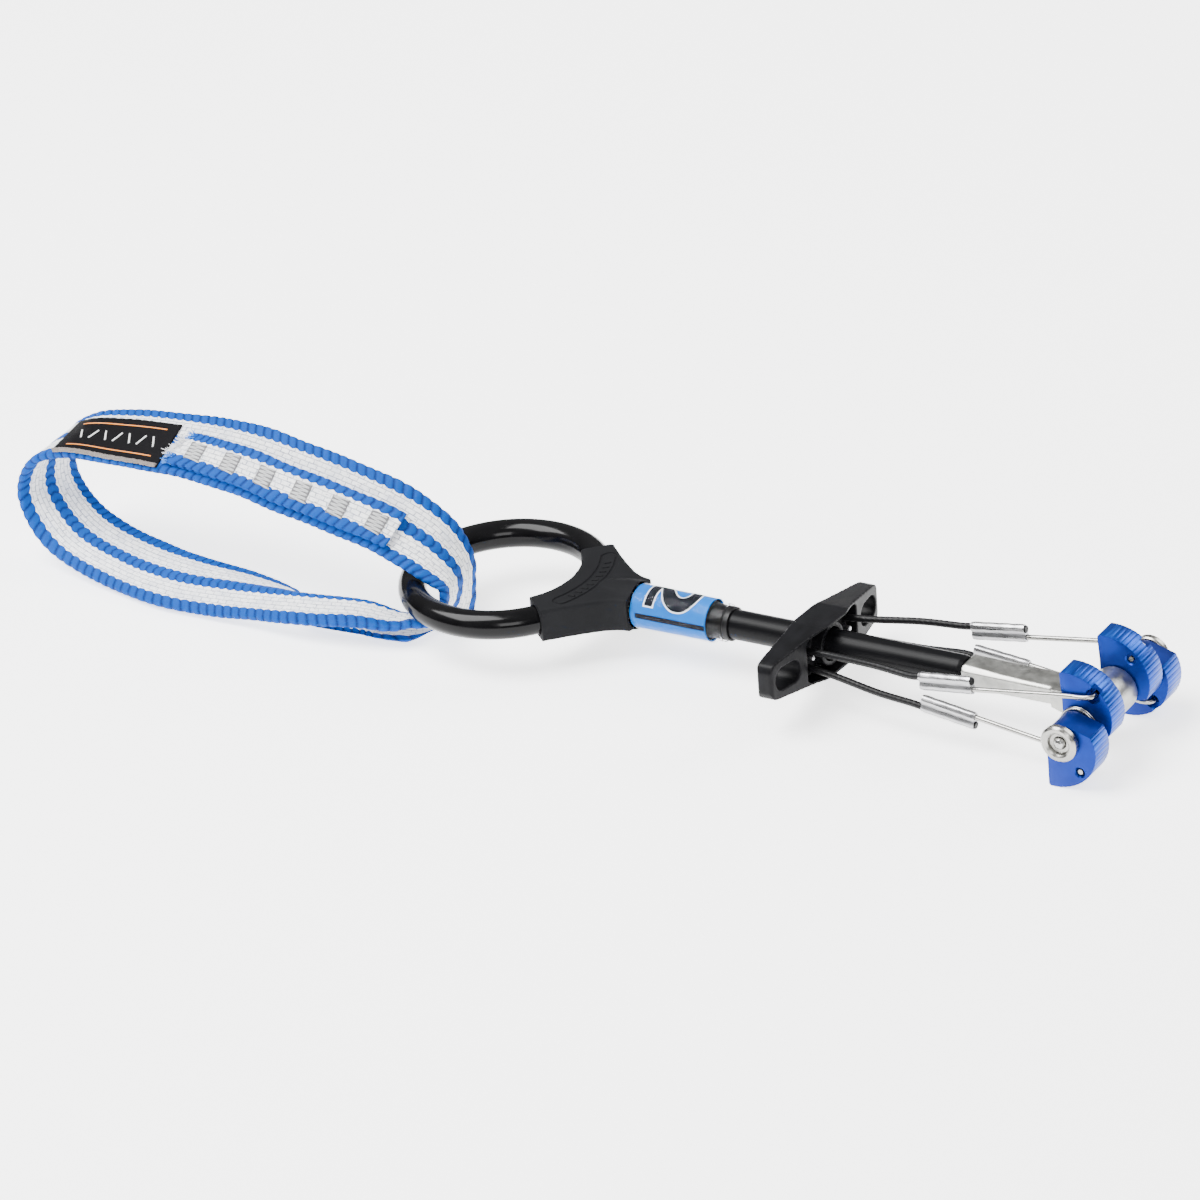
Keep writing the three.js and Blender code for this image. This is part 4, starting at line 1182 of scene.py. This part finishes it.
# ---- studio
VIEW_TURN = 33.334      # degrees that the line of sight is turned from +Y toward -X
VIEW_DROP = 28.670      # degrees that it looks down
VIEW_ROLL = -6.229      # degrees that the camera is rolled about it
VIEW_DISTANCE = 2823.7
VIEW_AIM = (26.36, -1.202, 0)
LENS = 360


def build_floor():
    bpy.ops.mesh.primitive_plane_add(size=30, location=(0, 0, -0.0001))
    floor = bpy.context.object
    floor.name = "studio_floor"
    paper = Look("paper", "paper", (0.93, 0.93, 0.93), 0.9, Emission_Color=(1, 1, 1, 1),
                 Emission_Strength=2.1)
    floor.data.materials.append(paper.material)


def build_world():
    """Soft light all round, from grey at the horizon to white overhead."""
    world = bpy.data.worlds.new("studio")
    sky = Nodes(world)
    height = sky.node("SeparateXYZ", {0: sky.place["Generated"]}, out=2)
    background = sky.tree.nodes["Background"].inputs
    sky.tree.links.new(sky.ramp(height, (0.05, (0.10, 0.10, 0.105)), (0.85, 1.0)), background[0])
    background[1].default_value = 0.75
    bpy.context.scene.world = world


def build_lights():
    aim = ORIGIN + Vector((20, 0, 0)) * MM
    soft_boxes = [
        ("key", (-0.45, -0.35, 1.15), 0.9, 50.0),
        ("rim", (0.55, 0.95, 0.75), 0.7, 12.0),
        ("front", (0.75, -1.25, 0.75), 0.6, 10.0),
    ]
    for name, where, size, power in soft_boxes:
        light = bpy.data.lights.new(name, "AREA")
        light.size = size
        light.energy = power
        lamp = bpy.data.objects.new(name, light)
        lamp.location = aim + Vector(where)
        lamp.rotation_euler = (aim - lamp.location).to_track_quat("-Z", "Y").to_euler()
        bpy.context.scene.collection.objects.link(lamp)


def build_camera():
    camera = bpy.data.cameras.new("camera")
    camera.lens = LENS
    camera.clip_end = 100
    eye = bpy.data.objects.new("camera", camera)
    place = Matrix.Translation(ORIGIN + Vector(VIEW_AIM) * MM)
    for degrees, axis in ((VIEW_TURN, "Z"), (90 - VIEW_DROP, "X"), (VIEW_ROLL, "Z")):
        place = place @ Matrix.Rotation(radians(degrees), 4, axis)
    eye.matrix_world = place @ Matrix.Translation((0, 0, VIEW_DISTANCE * MM))
    bpy.context.scene.collection.objects.link(eye)
    bpy.context.scene.camera = eye


STEEL_CABLE = steel("stranded_steel", "steel_cable", (0.45, 0.45, 0.44), 0.35, (300, 3000, 3000))
BRIGHT = steel("bright_aluminium", "crimp_bright", (0.44, 0.44, 0.45), 0.30, (120, 1500, 1500), 0.05)
LOBE_FACE = anodised("anodised_face", False)
LOBE_CAM = anodised("anodised_cam", True)

build_camera()
build_floor()
build_world()
build_lights()
build_sling()
build_loop()
build_boot()
build_label()
build_stem()
build_terminal()
build_axle()
build_lobes()
build_springs()
build_wires()
build_trigger()
